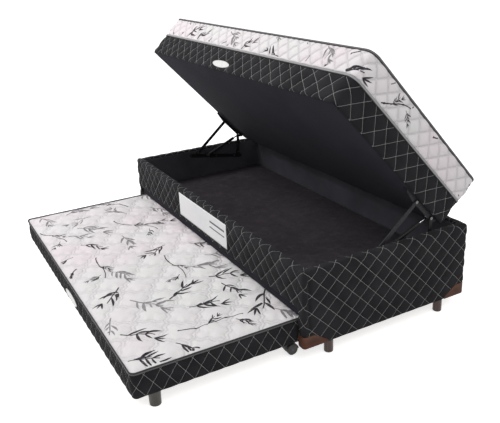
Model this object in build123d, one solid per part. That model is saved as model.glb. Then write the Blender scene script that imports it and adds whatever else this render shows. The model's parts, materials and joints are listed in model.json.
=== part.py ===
from build123d import *
import os
from math import atan2, cos, degrees, hypot, radians, sin, sqrt

os.makedirs("parts", exist_ok=True)

# A single box bed: a storage base with a sprung lid that carries the mattress, and a low
# trundle bed that rolls out of the front. X runs along the bed with the foot end at +X,
# the trundle comes out towards -Y, and Z is up. All sizes are in millimetres.

# Storage base
base_length = 1880
base_width = 880
base_height = 408
base_lift = 60
board_thickness = 25
cover_thickness = 9
lining_thickness = 4
band_height = 177
well_depth = 190
floor_board_thickness = 9
floor_cloth_thickness = 3
ledger_width = 18
ledger_height = 12

# Feet, corner guards and front patch of the base
foot_diameter = 40
foot_end_inset = 20
foot_side_inset = 135
foot_rounding = 4
guard_thickness = 2
guard_foot_width = 118
guard_head_width = 50
guard_height = 55
guard_slant = 10
patch_length = 558
patch_height = 128
patch_drop = 25
patch_thickness = 1

# Lid
lid_end_inset = 20
lid_cover_height = 118
lid_corner_radius = 45
lid_rail_thickness = 25
lid_rail_height = 90
underside_cloth_thickness = 2
slat_width = 60
slat_thickness = 12
slat_pitch = 122
felt_thickness = 20
mattress_height = 125
tape_height = 12
tape_thickness = 4
soft_gap = 0.3

# Lid positions: where the rear bottom edge lies when the lid is open and closed
lid_angle = 47
lid_open_lift = 4
lid_open_forward = 122
lid_closed_gap = 1

# Lift mechanism
link_width = 18
link_thickness = 4
mechanism_plate = 3
layer_gap = 0.5
pin_diameter = 8
pin_head_diameter = 14
pin_head_height = 2.5
pin_clearance = 0.05
open_pivot_gap = 0.4
rear_link_length = 125
front_link_length = 270
lid_pivot_drop = 12
rear_pivot_reach = 80
front_pivot_reach = 210
bracket_length = 248
bracket_wall_gap = 6
bracket_depth = 22
bracket_flange = 28
base_plate_width = 22
base_plate_lug = 24
base_plate_front_overhang = 46
base_plate_rear_overhang = 15
base_plate_front_drop = 40
base_plate_rear_drop = 98
strut_inset = 28
strut_pin_reach = 420
strut_pin_drop = 46
strut_tube_diameter = 18
strut_tube_length = 205
strut_bore_diameter = 14
strut_guide_length = 10
strut_rod_diameter = 8
strut_rod_length = 170
strut_eye_diameter = 16
strut_eye_thickness = 10
piston_length = 8
screw_diameter = 5
screw_length = 22
screw_head_diameter = 10
screw_head_height = 2.5
small_screw_diameter = 4
small_screw_head_diameter = 8
small_screw_length = 20
screw_clearance = 0.2
plate_screw_shares = (0.29, 0.87)
bracket_screw_shares = (0.12, 0.5, 0.88)
bracket_screw_gap = 1

# Trundle
trundle_side_clearance = 9
trundle_headroom = 6
trundle_width = 780
trundle_pull = 715
trundle_lift = 68
trundle_corner_radius = 20
trundle_rail_thickness = 22
trundle_pad_sink = 20
trundle_pad_crown = 16
trundle_tape_height = 14
leg_block_size = 60
trundle_foot_diameter = 50
trundle_foot_taper = 4
trundle_foot_end_inset = 30
trundle_foot_side_inset = 96

# Castors
castor_end_inset = 37
castor_side_inset = 91
castor_plate_size = 44
castor_plate_thickness = 3
castor_wheel_diameter = 48
castor_wheel_width = 17
castor_web = 8
castor_trail = 17
castor_hood_wall = 3
castor_gap = 1
castor_stem_diameter = 10
castor_stem_length = 24
castor_boss_diameter = 22
castor_axle_diameter = 6
castor_wheel_rounding = 2

# Badge plates, left bare
badge_thickness = 1.5
lid_badge_length = 166
lid_badge_height = 38
lid_badge_offset = -46
lid_badge_rise = 31
trundle_badge_length = 190
trundle_badge_height = 44
trundle_badge_offset = 40
trundle_badge_rise = 35

# Places worked out for the base
wall = cover_thickness + board_thickness + lining_thickness
half_length = base_length / 2
half_width = base_width / 2
board_x = half_length - cover_thickness
board_y = half_width - cover_thickness
frame_x = board_x - board_thickness
frame_y = board_y - board_thickness
well_x = half_length - wall
well_y = half_width - wall
board_top = base_height - cover_thickness
band_bottom = base_height - band_height
floor_top = base_height - well_depth - floor_cloth_thickness
floor_bottom = floor_top - floor_board_thickness
ledger_bottom = floor_bottom - ledger_height

# Places worked out for the lid, as if it lay closed with its rear bottom edge on the X axis
lid_half = half_length - lid_end_inset
lid_face = lid_half - tape_thickness
lid_inner = lid_face - cover_thickness
lid_rear_face = -tape_thickness
lid_front_face = -(base_width - tape_thickness)
slat_bottom = underside_cloth_thickness + lid_rail_height
felt_bottom = slat_bottom + slat_thickness
mattress_bottom = felt_bottom + felt_thickness
lid_height = mattress_bottom + mattress_height
inner_radius = lid_corner_radius - cover_thickness
bracket_start = wall + bracket_wall_gap

# Where the lid stands open and where it lies closed, as (y, z) of its rear bottom edge
open_corner = (half_width - lid_open_forward, base_height + lid_open_lift)
closed_corner = (half_width, base_height + lid_closed_gap)

# Places worked out for the trundle
trundle_front = -half_width - trundle_pull
trundle_rear = trundle_front + trundle_width
trundle_half = well_x - trundle_side_clearance
trundle_face = trundle_half - tape_thickness
trundle_inner = trundle_face - cover_thickness
trundle_top = ledger_bottom - trundle_headroom
trundle_cover_top = trundle_top - trundle_pad_crown
trundle_slat_top = trundle_cover_top - trundle_pad_sink
trundle_rail_top = trundle_slat_top - slat_thickness
trundle_front_face = trundle_front + tape_thickness
trundle_rear_face = trundle_rear - tape_thickness

# The origin lies under the middle of the whole object
lid_rear_reach = open_corner[0] + lid_height * sin(radians(lid_angle))
origin_y = (trundle_front + lid_rear_reach) / 2


def block(x, y, z):
    """A box between a low and a high value on each axis."""
    size = [high - low for low, high in (x, y, z)]
    centre = [(high + low) / 2 for low, high in (x, y, z)]
    return Pos(*centre) * Box(*size)


def slab(half_x, y, z, radius):
    """A flat slab, centred on X, with its upright corners rounded."""
    outline = RectangleRounded(2 * half_x, y[1] - y[0], radius)
    return Pos(0, (y[0] + y[1]) / 2, z[0]) * extrude(outline, amount=z[1] - z[0])


def ring(half_x, y, z, radius, thickness):
    """A frame with rounded corners and a wall of one thickness."""
    inner_y = (y[0] + thickness, y[1] - thickness)
    return slab(half_x, y, z, radius) - slab(half_x - thickness, inner_y, z, radius - thickness)


def pin(place, diameter, x):
    """A cylinder along X through the point (y, z)."""
    middle = Pos((x[0] + x[1]) / 2, *place) * Rot(Y=90)
    return middle * Cylinder(diameter / 2, abs(x[1] - x[0]))


def strap(start, end, width, x):
    """A flat bar with round ends between two points (y, z)."""
    reach = (end[0] - start[0], end[1] - start[1])
    tilt = degrees(atan2(reach[1], reach[0]))
    middle = ((start[0] + end[0]) / 2, (start[1] + end[1]) / 2)
    bar = Pos((x[0] + x[1]) / 2, *middle) * Rot(X=tilt) * Box(x[1] - x[0], hypot(*reach), width)
    return bar + pin(start, width, x) + pin(end, width, x)


def sheet_metal(points, x):
    """A flat plate with corners at the points (y, z)."""
    outline = make_face(Polyline(*[(x[0], y, z) for y, z in points], close=True))
    return extrude(outline, amount=x[1] - x[0], dir=(1, 0, 0))


def oval(length, height):
    """A bare badge plate, lying on XZ and facing -Y."""
    outline = Plane.XZ * Ellipse(length / 2, height / 2)
    return extrude(outline, amount=badge_thickness)


def other_end(shape):
    return mirror(shape, about=Plane.YZ)


def other_side(shape):
    return mirror(shape, about=Plane.XZ)


def both_ends(*shapes):
    """Each shape at the foot end, and its mirror image at the head end."""
    return [*shapes, *[other_end(shape) for shape in shapes]]


def save(name, *pieces):
    solids = [solid for piece in pieces for solid in piece.solids()]
    shape = solids[0] if len(solids) == 1 else Compound(solids)
    export_step(Pos(0, -origin_y, 0) * shape, f"parts/{name}.step")


def save_ends(name, shape):
    save(f"{name}_foot", shape)
    save(f"{name}_head", other_end(shape))


def open_lid(shape):
    """Moves a piece of the closed lid to where the open lid stands."""
    return Pos(0, *open_corner) * Rot(X=-lid_angle) * shape


def lid_point(corner, angle, reach, drop):
    """A point under the lid, so far from its rear edge and so far below its underside."""
    turn = radians(angle)
    y = corner[0] - reach * cos(turn) - drop * sin(turn)
    z = corner[1] + reach * sin(turn) - drop * cos(turn)
    return (y, z)


def base_pivot(opened, closed, length, side):
    """The fixed end of a link whose moving end goes from opened to closed."""
    across = (closed[0] - opened[0], closed[1] - opened[1])
    chord = hypot(*across)
    rise = sqrt(length ** 2 - (chord / 2) ** 2)
    normal = (side * across[1] / chord, -side * across[0] / chord)
    middle = ((opened[0] + closed[0]) / 2, (opened[1] + closed[1]) / 2)
    return (middle[0] + rise * normal[0], middle[1] + rise * normal[1])


def bearing(start, end):
    return degrees(atan2(end[1] - start[1], end[0] - start[0]))


# Pivots of the lift mechanism, each a point (y, z)
rear_top_open = lid_point(open_corner, lid_angle, rear_pivot_reach, lid_pivot_drop)
rear_top_closed = lid_point(closed_corner, 0, rear_pivot_reach, lid_pivot_drop)
front_top_open = lid_point(open_corner, lid_angle, front_pivot_reach, lid_pivot_drop)
front_top_closed = lid_point(closed_corner, 0, front_pivot_reach, lid_pivot_drop)
rear_base_pivot = base_pivot(rear_top_open, rear_top_closed, rear_link_length, 1)
front_base_pivot = base_pivot(front_top_open, front_top_closed, front_link_length, 1)
strut_base_pivot = (half_width - strut_pin_reach, base_height - strut_pin_drop)
strut_open_length = hypot(rear_top_open[0] - strut_base_pivot[0],
                          rear_top_open[1] - strut_base_pivot[1])
strut_closed_length = hypot(rear_top_closed[0] - strut_base_pivot[0],
                            rear_top_closed[1] - strut_base_pivot[1])
strut_tilt = bearing(strut_base_pivot, rear_top_open)

# Layers of the lift mechanism at the foot end, from the lining inwards
plate_x = (well_x - mechanism_plate, well_x)
link_x = (plate_x[0] - layer_gap - link_thickness, plate_x[0] - layer_gap)
bracket_x = (link_x[0] - layer_gap - mechanism_plate, link_x[0] - layer_gap)
strut_x = well_x - strut_inset
eye_x = (strut_x - strut_eye_thickness / 2, strut_x + strut_eye_thickness / 2)
pin_hole = pin_diameter + 2 * pin_clearance

# The bar of the base plate runs from the front eye down to the rear
plate_start = (front_base_pivot[0] - base_plate_front_overhang, base_height - base_plate_front_drop)
plate_end = (rear_base_pivot[0] + base_plate_rear_overhang, base_height - base_plate_rear_drop)


def on_plate_bar(y):
    """The point of the base plate's bar at one y."""
    share = (y - plate_start[0]) / (plate_end[0] - plate_start[0])
    return (y, plate_start[1] + share * (plate_end[1] - plate_start[1]))


strut_to_upright = rear_base_pivot[0] - strut_base_pivot[0]
plate_screws = [on_plate_bar(strut_base_pivot[0] + share * strut_to_upright)
                for share in plate_screw_shares]
screw_hole = screw_diameter + 2 * screw_clearance


def plate_screw_holes():
    holes = [pin(place, screw_hole, (plate_x[0], plate_x[1] + screw_length))
             for place in plate_screws]
    return Compound(both_ends(*holes))


def base_boards():
    high = (base_lift, board_top)
    end_board = block((frame_x, board_x), (-board_y, board_y), high)
    end_board = end_board - plate_screw_holes()
    save_ends("end_board", end_board)
    save("rear_board", block((-frame_x, frame_x), (frame_y, board_y), high))
    rail_high = (ledger_bottom, board_top)
    save("front_rail", block((-frame_x, frame_x), (-board_y, -frame_y), rail_high))


def well():
    floor = (floor_bottom, floor_top)
    save("well_floor", block((-frame_x, frame_x), (-frame_y, frame_y), floor))
    shelf = (ledger_bottom, floor_bottom)
    end_ledger = block((frame_x - ledger_width, frame_x), (-frame_y, frame_y), shelf)
    inner = frame_x - ledger_width
    side_ledger = block((-inner, inner), (frame_y - ledger_width, frame_y), shelf)
    save("floor_ledgers", *both_ends(end_ledger), side_ledger, other_side(side_ledger))
    outer = block((-frame_x, frame_x), (-frame_y, frame_y), (floor_top, board_top))
    hollow = block((-well_x, well_x), (-well_y, well_y), (floor_top, board_top))
    save("well_lining", outer - hollow - plate_screw_holes())
    cloth = (floor_top, floor_top + floor_cloth_thickness)
    save("well_floor_cloth", block((-well_x, well_x), (-well_y, well_y), cloth))


def base_covers():
    top = (board_top, base_height)
    end_face = block((board_x, half_length), (-board_y, board_y), (base_lift, board_top))
    end_rim = block((well_x, half_length), (-well_y, well_y), top)
    save_ends("end_cover", end_face + end_rim)
    side_face = block((-half_length, half_length), (board_y, half_width), (base_lift, base_height))
    side_rim = block((-half_length, half_length), (well_y, half_width), top)
    side_cover = side_face + side_rim
    save("rear_cover", side_cover)
    doorway = block((-well_x, well_x), (-half_width, -board_y), (base_lift, band_bottom))
    save("front_cover", other_side(side_cover) - doorway)


def corner_guards():
    low = base_lift
    outer_y = half_width + guard_thickness
    outline = [(outer_y, low), (half_width - guard_foot_width, low),
               (half_width - guard_head_width, low + guard_height - guard_slant),
               (outer_y, low + guard_height)]
    on_end = sheet_metal(outline, (half_length, half_length + guard_thickness))
    on_side = block((well_x, half_length + guard_thickness), (half_width, outer_y),
                    (low, low + guard_height))
    guard = on_end + on_side
    save("corner_guards", *both_ends(guard, other_side(guard)))


def base_feet():
    foot = Cylinder(foot_diameter / 2, base_lift, align=(Align.CENTER, Align.CENTER, Align.MIN))
    foot = fillet(foot.edges().group_by(Axis.Z)[0], foot_rounding)
    place = Pos(half_length - foot_end_inset, half_width - foot_side_inset, 0)
    save("base_feet", *both_ends(place * foot, other_side(place * foot)))


def front_patch():
    high = base_height - patch_drop
    front = (-half_width - patch_thickness, -half_width)
    across = (-patch_length / 2, patch_length / 2)
    save("front_patch", block(across, front, (high - patch_height, high)))


def slats(half_x, y, z, inside):
    """Cross slats with equal gaps, cut to the space that they lie in."""
    count = int((2 * half_x - slat_width) // slat_pitch) + 1
    start = -(count - 1) * slat_pitch / 2
    places = [start + index * slat_pitch for index in range(count)]
    bars = [block((place - slat_width / 2, place + slat_width / 2), y, z) for place in places]
    return [bar & inside for bar in bars]


def frame_rails(half_x, y, z, thickness, inside):
    """Two long rails and two end rails between them."""
    front = block((-half_x, half_x), (y[0], y[0] + thickness), z) & inside
    rear = block((-half_x, half_x), (y[1] - thickness, y[1]), z) & inside
    end = block((half_x - thickness, half_x), (y[0] + thickness, y[1] - thickness), z) & inside
    return front, rear, end


def lid_box():
    outer_y = (lid_front_face, lid_rear_face)
    inner_y = (lid_front_face + cover_thickness, lid_rear_face - cover_thickness)
    inside = slab(lid_inner, inner_y, (0, mattress_bottom), inner_radius)
    cover = ring(lid_face, outer_y, (0, lid_cover_height), lid_corner_radius, cover_thickness)
    save("lid_side_cover", open_lid(cover))
    holes = Compound(bracket_screw_holes())
    cloth = slab(lid_inner, inner_y, (0, underside_cloth_thickness), inner_radius) - holes
    save("lid_underside_cloth", open_lid(cloth))
    rail_z = (underside_cloth_thickness, slat_bottom)
    front, rear, end = frame_rails(lid_inner, inner_y, rail_z, lid_rail_thickness, inside)
    save("lid_front_rail", open_lid(front))
    save("lid_rear_rail", open_lid(rear - holes))
    save("lid_end_rails", *[open_lid(rail - holes) for rail in both_ends(end)])
    bars = slats(lid_inner - inner_radius, inner_y, (slat_bottom, felt_bottom), inside)
    save("lid_slats", *[open_lid(bar) for bar in bars])
    felt = slab(lid_inner - soft_gap, (inner_y[0] + soft_gap, inner_y[1] - soft_gap),
                (felt_bottom, mattress_bottom), inner_radius)
    save("lid_felt", open_lid(felt))


def lid_mattress():
    outer_y = (lid_front_face, lid_rear_face)
    block_z = (mattress_bottom, lid_height)
    save("lid_mattress", open_lid(slab(lid_face, outer_y, block_z, lid_corner_radius)))
    wide_y = (lid_front_face - tape_thickness, lid_rear_face + tape_thickness)
    radius = lid_corner_radius + tape_thickness
    around = tape_thickness - soft_gap
    upper_z = (lid_height - tape_height, lid_height)
    upper = ring(lid_half, wide_y, upper_z, radius, around)
    seat_z = (lid_cover_height, mattress_bottom)
    seat = ring(lid_half, wide_y, seat_z, radius, tape_thickness + cover_thickness)
    lower = ring(lid_half, wide_y, (mattress_bottom, lid_cover_height + tape_height), radius, around)
    save("lid_tapes", open_lid(upper), open_lid(seat + lower))
    badge = Pos(lid_badge_offset, lid_front_face, lid_badge_rise)
    badge = badge * oval(lid_badge_length, lid_badge_height)
    save("lid_badge", open_lid(badge))


def bracket_screw_places():
    """Screws of one lid bracket, as (x, y) under the closed lid."""
    across = bracket_x[0] - small_screw_head_diameter / 2 - bracket_screw_gap
    reaches = [bracket_start + share * bracket_length for share in bracket_screw_shares]
    return [(across, -reach) for reach in reaches]


def upright(place, diameter, z):
    middle = Pos(place[0], place[1], (z[0] + z[1]) / 2)
    return middle * Cylinder(diameter / 2, z[1] - z[0])


def bracket_screw_holes():
    diameter = small_screw_diameter + 2 * screw_clearance
    depth = small_screw_length + screw_clearance
    holes = [upright(place, diameter, (-mechanism_plate, depth)) for place in bracket_screw_places()]
    return both_ends(*holes)


def lid_brackets():
    start = -bracket_start
    end = start - bracket_length
    shoulder = lid_pivot_drop + link_width / 2
    lip = bracket_depth / 2
    outline = [(start, 0), (start, -lip), (-rear_pivot_reach + shoulder, -bracket_depth),
               (-front_pivot_reach - shoulder, -bracket_depth), (end, -lip), (end, 0)]
    web = sheet_metal(outline, bracket_x)
    flange = block((bracket_x[1] - bracket_flange, bracket_x[1]), (end, start), (-mechanism_plate, 0))
    pivot = (-rear_pivot_reach, -lid_pivot_drop)
    bracket = web + flange - pin(pivot, pin_hole, bracket_x) - Compound(bracket_screw_holes())
    save_ends("lid_bracket", open_lid(bracket))
    screws = []
    for place in bracket_screw_places():
        head_z = (-mechanism_plate - screw_head_height, -mechanism_plate)
        shank = upright(place, small_screw_diameter, (-mechanism_plate, small_screw_length))
        screws.append(upright(place, small_screw_head_diameter, head_z) + shank)
    save("lid_bracket_screws", *[open_lid(screw) for screw in both_ends(*screws)])


def lift_base_plates():
    front_foot = on_plate_bar(front_base_pivot[0])
    rear_foot = on_plate_bar(rear_base_pivot[0])
    strut_foot = on_plate_bar(strut_base_pivot[0])
    plate = strap(plate_start, plate_end, base_plate_width, plate_x)
    plate += strap(front_foot, front_base_pivot, base_plate_lug, plate_x)
    plate += strap(rear_foot, rear_base_pivot, base_plate_lug, plate_x)
    plate += strap(strut_foot, strut_base_pivot, base_plate_lug, plate_x)
    for place in (front_base_pivot, rear_base_pivot, strut_base_pivot, plate_start):
        plate -= pin(place, pin_hole, plate_x)
    plate -= plate_screw_holes()
    save_ends("lift_base_plate", plate)
    screws = []
    for place in plate_screws:
        head_x = (plate_x[0] - screw_head_height, plate_x[0])
        shank = pin(place, screw_diameter, (plate_x[0], plate_x[0] + screw_length))
        screws.append(pin(place, screw_head_diameter, head_x) + shank)
    save("lift_base_screws", *both_ends(*screws))
    shaft = pin(strut_base_pivot, pin_diameter, (eye_x[0] - layer_gap, plate_x[1]))
    collar = pin(strut_base_pivot, pin_head_diameter, (plate_x[0] - mechanism_plate, plate_x[0]))
    head_x = (eye_x[0] - layer_gap - pin_head_height, eye_x[0] - layer_gap)
    head = pin(strut_base_pivot, pin_head_diameter, head_x)
    save("strut_pins", *both_ends(shaft + collar + head))


def link(name, base_end, top_end, pins):
    holes = pin(base_end, pin_hole, link_x) + pin(top_end, pin_hole, link_x)
    save_ends(name, strap(base_end, top_end, link_width, link_x) - holes)
    save(f"{name}_pins", *both_ends(*pins))


def base_link_pin(place):
    """Turns in the base plate and holds the lower end of a link."""
    shaft = pin(place, pin_diameter, (link_x[0], plate_x[1] - layer_gap))
    return shaft + pin(place, pin_head_diameter, (link_x[0] - pin_head_height, link_x[0]))


def top_link_pin(place, inner_end):
    """Holds the upper end of a link, with its head towards the lining."""
    shaft = pin(place, pin_diameter, (inner_end, link_x[1]))
    return shaft + pin(place, pin_head_diameter, (link_x[1], link_x[1] + pin_head_height))


def links():
    rear_pin = top_link_pin(rear_top_open, eye_x[1] + layer_gap)
    link("rear_link", rear_base_pivot, rear_top_open, [base_link_pin(rear_base_pivot), rear_pin])
    front_pin = top_link_pin(front_top_open, bracket_x[1] + open_pivot_gap)
    link("front_link", front_base_pivot, front_top_open,
         [base_link_pin(front_base_pivot), front_pin])


def strut():
    """Modelled upright on its lower eye, then tilted to the open lid."""
    place = Pos(strut_x, *strut_base_pivot) * Rot(X=strut_tilt - 90)
    half_eye = strut_eye_thickness / 2
    eye = pin((0, 0), strut_eye_diameter, (-half_eye, half_eye))
    eye_hole = pin((0, 0), pin_hole, (-half_eye, half_eye))
    tube_start = strut_eye_diameter / 2 + layer_gap
    tube = upright((0, 0), strut_tube_diameter, (tube_start, strut_tube_length))
    neck = upright((0, 0), strut_rod_diameter, (0, tube_start))
    piston_foot = strut_open_length - strut_rod_length
    bore_z = (piston_foot - piston_length, strut_tube_length - strut_guide_length)
    tube -= upright((0, 0), strut_bore_diameter, bore_z)
    guide_hole = strut_rod_diameter + 2 * pin_clearance
    tube -= upright((0, 0), guide_hole, (bore_z[1], strut_tube_length))
    save_ends("strut_cylinder", place * (tube + neck + eye - eye_hole))
    rod = upright((0, 0), strut_rod_diameter, (piston_foot, strut_open_length))
    piston = upright((0, 0), strut_bore_diameter - 2 * pin_clearance,
                     (piston_foot, piston_foot + piston_length))
    at_lid = Pos(0, 0, strut_open_length)
    save_ends("strut_rod", place * (rod + piston + at_lid * eye - at_lid * eye_hole))


trundle_leg_x = trundle_half - trundle_foot_end_inset - cover_thickness
castor_x = trundle_half - castor_end_inset - cover_thickness
trundle_foot_y = trundle_front + trundle_foot_side_inset
castor_y = trundle_rear - castor_side_inset
castor_hood_radius = castor_wheel_diameter / 2 + castor_gap + castor_hood_wall
castor_width = castor_web + 2 * castor_gap + 2 * castor_wheel_width
castor_plate_bottom = trundle_lift - castor_plate_thickness
stem_hole = castor_stem_diameter + 2 * pin_clearance


def trundle_frame():
    outer_y = (trundle_front_face, trundle_rear_face)
    inner_y = (trundle_front_face + cover_thickness, trundle_rear_face - cover_thickness)
    inner_corner = trundle_corner_radius - cover_thickness
    inside = slab(trundle_inner, inner_y, (trundle_lift, trundle_slat_top), inner_corner)
    cover_z = (trundle_lift, trundle_cover_top)
    cover = ring(trundle_face, outer_y, cover_z, trundle_corner_radius, cover_thickness)
    save("trundle_side_cover", cover)
    rail_z = (trundle_lift, trundle_rail_top)
    front, rear, end = frame_rails(trundle_inner, inner_y, rail_z, trundle_rail_thickness, inside)
    save("trundle_long_rails", front, rear)
    save("trundle_end_rails", *both_ends(end))
    bar_z = (trundle_rail_top, trundle_slat_top)
    bars = slats(trundle_inner - trundle_corner_radius, inner_y, bar_z, inside)
    save("trundle_slats", *bars)
    outer_x = trundle_inner - trundle_rail_thickness
    block_z = (trundle_lift, trundle_rail_top)
    blocks = []
    for middle in (trundle_foot_y, castor_y):
        block_y = (middle - leg_block_size / 2, middle + leg_block_size / 2)
        blocks.append(block((outer_x - leg_block_size, outer_x), block_y, block_z))
    blocks[1] -= upright((castor_x, castor_y), stem_hole, block_z)
    save("trundle_leg_blocks", *both_ends(*blocks))


def trundle_pad():
    outer_y = (trundle_front_face, trundle_rear_face)
    inset = cover_thickness + soft_gap
    inner_y = (outer_y[0] + inset, outer_y[1] - inset)
    sunk_z = (trundle_slat_top, trundle_cover_top)
    sunk = slab(trundle_face - inset, inner_y, sunk_z, trundle_corner_radius - cover_thickness)
    crown = slab(trundle_face, outer_y, (trundle_cover_top, trundle_top), trundle_corner_radius)
    save("trundle_pad", sunk + crown)
    wide_y = (trundle_front, trundle_rear)
    tape_z = (trundle_cover_top, trundle_cover_top + trundle_tape_height)
    radius = trundle_corner_radius + tape_thickness
    save("trundle_tape", ring(trundle_half, wide_y, tape_z, radius, tape_thickness - soft_gap))
    badge = Pos(trundle_badge_offset, trundle_front_face, trundle_lift + trundle_badge_rise)
    save("trundle_badge", badge * oval(trundle_badge_length, trundle_badge_height))


def trundle_feet():
    foot = Cone((trundle_foot_diameter - trundle_foot_taper) / 2, trundle_foot_diameter / 2,
                trundle_lift, align=(Align.CENTER, Align.CENTER, Align.MIN))
    place = Pos(trundle_leg_x, trundle_foot_y, 0)
    save("trundle_feet", *both_ends(place * foot))
    half = castor_plate_size / 2
    plate = block((castor_x - half, castor_x + half), (castor_y - half, castor_y + half),
                  (castor_plate_bottom, trundle_lift))
    plate -= upright((castor_x, castor_y), stem_hole, (castor_plate_bottom, trundle_lift))
    save("castor_plates", *both_ends(plate))


def castor():
    """A twin-wheel castor that trails towards the base."""
    axle_at = (castor_y + castor_trail, castor_wheel_diameter / 2)
    half = castor_width / 2
    reach = (castor_x - half, castor_x + half)
    web_x = (castor_x - castor_web / 2, castor_x + castor_web / 2)
    hood = pin(axle_at, 2 * castor_hood_radius, reach)
    hood_top = castor_plate_bottom - castor_gap
    hood += upright((castor_x, castor_y), castor_boss_diameter, (axle_at[1], hood_top))
    hood -= block(reach, (axle_at[0] - castor_hood_radius, axle_at[0] + castor_hood_radius),
                  (axle_at[1] - castor_hood_radius, axle_at[1]))
    hood -= pin(axle_at, castor_wheel_diameter + 2 * castor_gap, reach)
    web = pin(axle_at, castor_wheel_diameter - 2 * castor_hood_wall, web_x)
    web += block(web_x, (axle_at[0] - castor_hood_radius + castor_hood_wall, axle_at[0]),
                 (axle_at[1], axle_at[1] + castor_boss_diameter))
    web = web & pin(axle_at, 2 * castor_hood_radius, web_x)
    hood += web
    hood += upright((castor_x, castor_y), castor_stem_diameter,
                    (hood_top, hood_top + castor_stem_length))
    axle_hole = castor_axle_diameter + 2 * pin_clearance
    hood -= pin(axle_at, axle_hole, web_x)
    save_ends("castor_hood", hood)
    axle_x = (reach[0] + castor_gap, reach[1] - castor_gap)
    save_ends("castor_axle", pin(axle_at, castor_axle_diameter, axle_x))
    outer_x = (web_x[1] + castor_gap, reach[1])
    inner_x = (reach[0], web_x[0] - castor_gap)
    for name, x in (("outer", outer_x), ("inner", inner_x)):
        wheel = pin(axle_at, castor_wheel_diameter, x) - pin(axle_at, axle_hole, x)
        rims = wheel.edges().filter_by(GeomType.CIRCLE).sort_by(SortBy.RADIUS)[-2:]
        wheel = fillet(rims, castor_wheel_rounding)
        save_ends(f"castor_wheel_{name}", wheel)


base_boards()
well()
base_covers()
corner_guards()
base_feet()
front_patch()
lid_box()
lid_mattress()
lid_brackets()
lift_base_plates()
links()
strut()
trundle_frame()
trundle_pad()
trundle_feet()
castor()

for label, place in (("rear base pivot", rear_base_pivot), ("front base pivot", front_base_pivot),
                     ("strut base pivot", strut_base_pivot), ("lid pivot", rear_top_open)):
    print(label, round(place[0] - origin_y, 4), round(place[1], 4))
print("rear link swing", round(bearing(rear_base_pivot, rear_top_closed)
                               - bearing(rear_base_pivot, rear_top_open), 4))
print("front link swing", round(bearing(front_base_pivot, front_top_closed)
                                - bearing(front_base_pivot, front_top_open), 4))
print("strut swing", round(bearing(strut_base_pivot, rear_top_closed) - strut_tilt, 4))
print("strut tilt", round(strut_tilt, 4))
print("strut stroke", round(strut_closed_length - strut_open_length, 4))
print("origin y", round(origin_y, 4))
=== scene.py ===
import json
from math import ceil, cos, pi, radians, sin, sqrt, tau

import bpy
import numpy as np
from mathutils import Matrix, Vector, noise
from mathutils.bvhtree import BVHTree

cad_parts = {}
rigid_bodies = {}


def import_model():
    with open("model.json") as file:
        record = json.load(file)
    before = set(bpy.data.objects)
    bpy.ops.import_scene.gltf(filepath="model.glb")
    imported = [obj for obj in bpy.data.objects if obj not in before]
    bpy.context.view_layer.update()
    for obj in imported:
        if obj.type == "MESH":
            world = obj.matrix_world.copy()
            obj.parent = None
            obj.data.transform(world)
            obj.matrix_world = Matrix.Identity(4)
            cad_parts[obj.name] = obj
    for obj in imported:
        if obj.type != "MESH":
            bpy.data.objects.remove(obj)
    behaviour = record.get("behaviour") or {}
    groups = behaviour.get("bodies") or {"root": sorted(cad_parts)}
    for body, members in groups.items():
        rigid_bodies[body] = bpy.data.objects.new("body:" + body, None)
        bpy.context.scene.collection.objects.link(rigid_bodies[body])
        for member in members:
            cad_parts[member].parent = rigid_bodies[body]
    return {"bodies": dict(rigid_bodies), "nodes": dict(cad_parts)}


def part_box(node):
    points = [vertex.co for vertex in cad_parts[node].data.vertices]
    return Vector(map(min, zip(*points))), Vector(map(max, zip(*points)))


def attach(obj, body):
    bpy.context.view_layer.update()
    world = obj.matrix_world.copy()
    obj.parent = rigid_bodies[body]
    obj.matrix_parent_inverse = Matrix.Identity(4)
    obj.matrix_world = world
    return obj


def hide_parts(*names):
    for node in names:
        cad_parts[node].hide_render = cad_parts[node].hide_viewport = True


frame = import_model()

# The looks of the box bed: quilted covers, mattress, prints, cloths, leather and metal,
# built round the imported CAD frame. All sizes are in metres.

kept = set(frame["nodes"].values()) | set(frame["bodies"].values())
for thing in list(bpy.data.objects):
    if thing not in kept and thing.type in ("MESH", "LIGHT", "CAMERA"):
        bpy.data.objects.remove(thing)
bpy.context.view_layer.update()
chance = np.random.default_rng(11)

# Camera, fitted to the photograph
photo_width = 500
photo_focal_length = 657.9
sensor_width = 36
camera_azimuth = radians(61.93)
camera_elevation = radians(21.73)
camera_roll = radians(-2.65)
camera_distance = 3.475
camera_target = Vector((0.010, 0.163, 0.300))

# Base, measured from the middle of its footprint
base_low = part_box("front_cover")[0]
base_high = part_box("rear_cover")[1]
base_middle = (base_low[1] + base_high[1]) / 2
half_length = base_high[0]
half_width = (base_high[1] - base_low[1]) / 2
base_bottom = base_low[2]
base_top = base_high[2]
well_half_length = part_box("well_floor_cloth")[1][0]
well_half_width = half_width - (half_length - well_half_length)
band_bottom = 0.231
cover_depth = 0.0092
rim_depth = half_length - well_half_length
rim_radius = 0.014
rim_inner_radius = 0.008
corner_radius = 0.011
board_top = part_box("rear_board")[1][2]

# Lid, in its own frame: x along the bed, y towards the hinge, z out of the mattress
lid_angle = radians(47)
lid_rear_edge = (base_middle + 0.318, 0.412)
lid_half = 0.916
lid_rear = -0.004
lid_front = -0.876
lid_radius = 0.045
lid_cover_height = 0.118
lid_height = 0.249
lid_tape_height = 0.012

# Trundle
trundle_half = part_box("trundle_side_cover")[1][0]
trundle_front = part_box("trundle_side_cover")[0][1]
trundle_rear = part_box("trundle_side_cover")[1][1]
trundle_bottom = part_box("trundle_side_cover")[0][2]
trundle_cover_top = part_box("trundle_side_cover")[1][2]
trundle_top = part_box("trundle_pad")[1][2]
trundle_radius = 0.020
trundle_tape_height = 0.014

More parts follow.
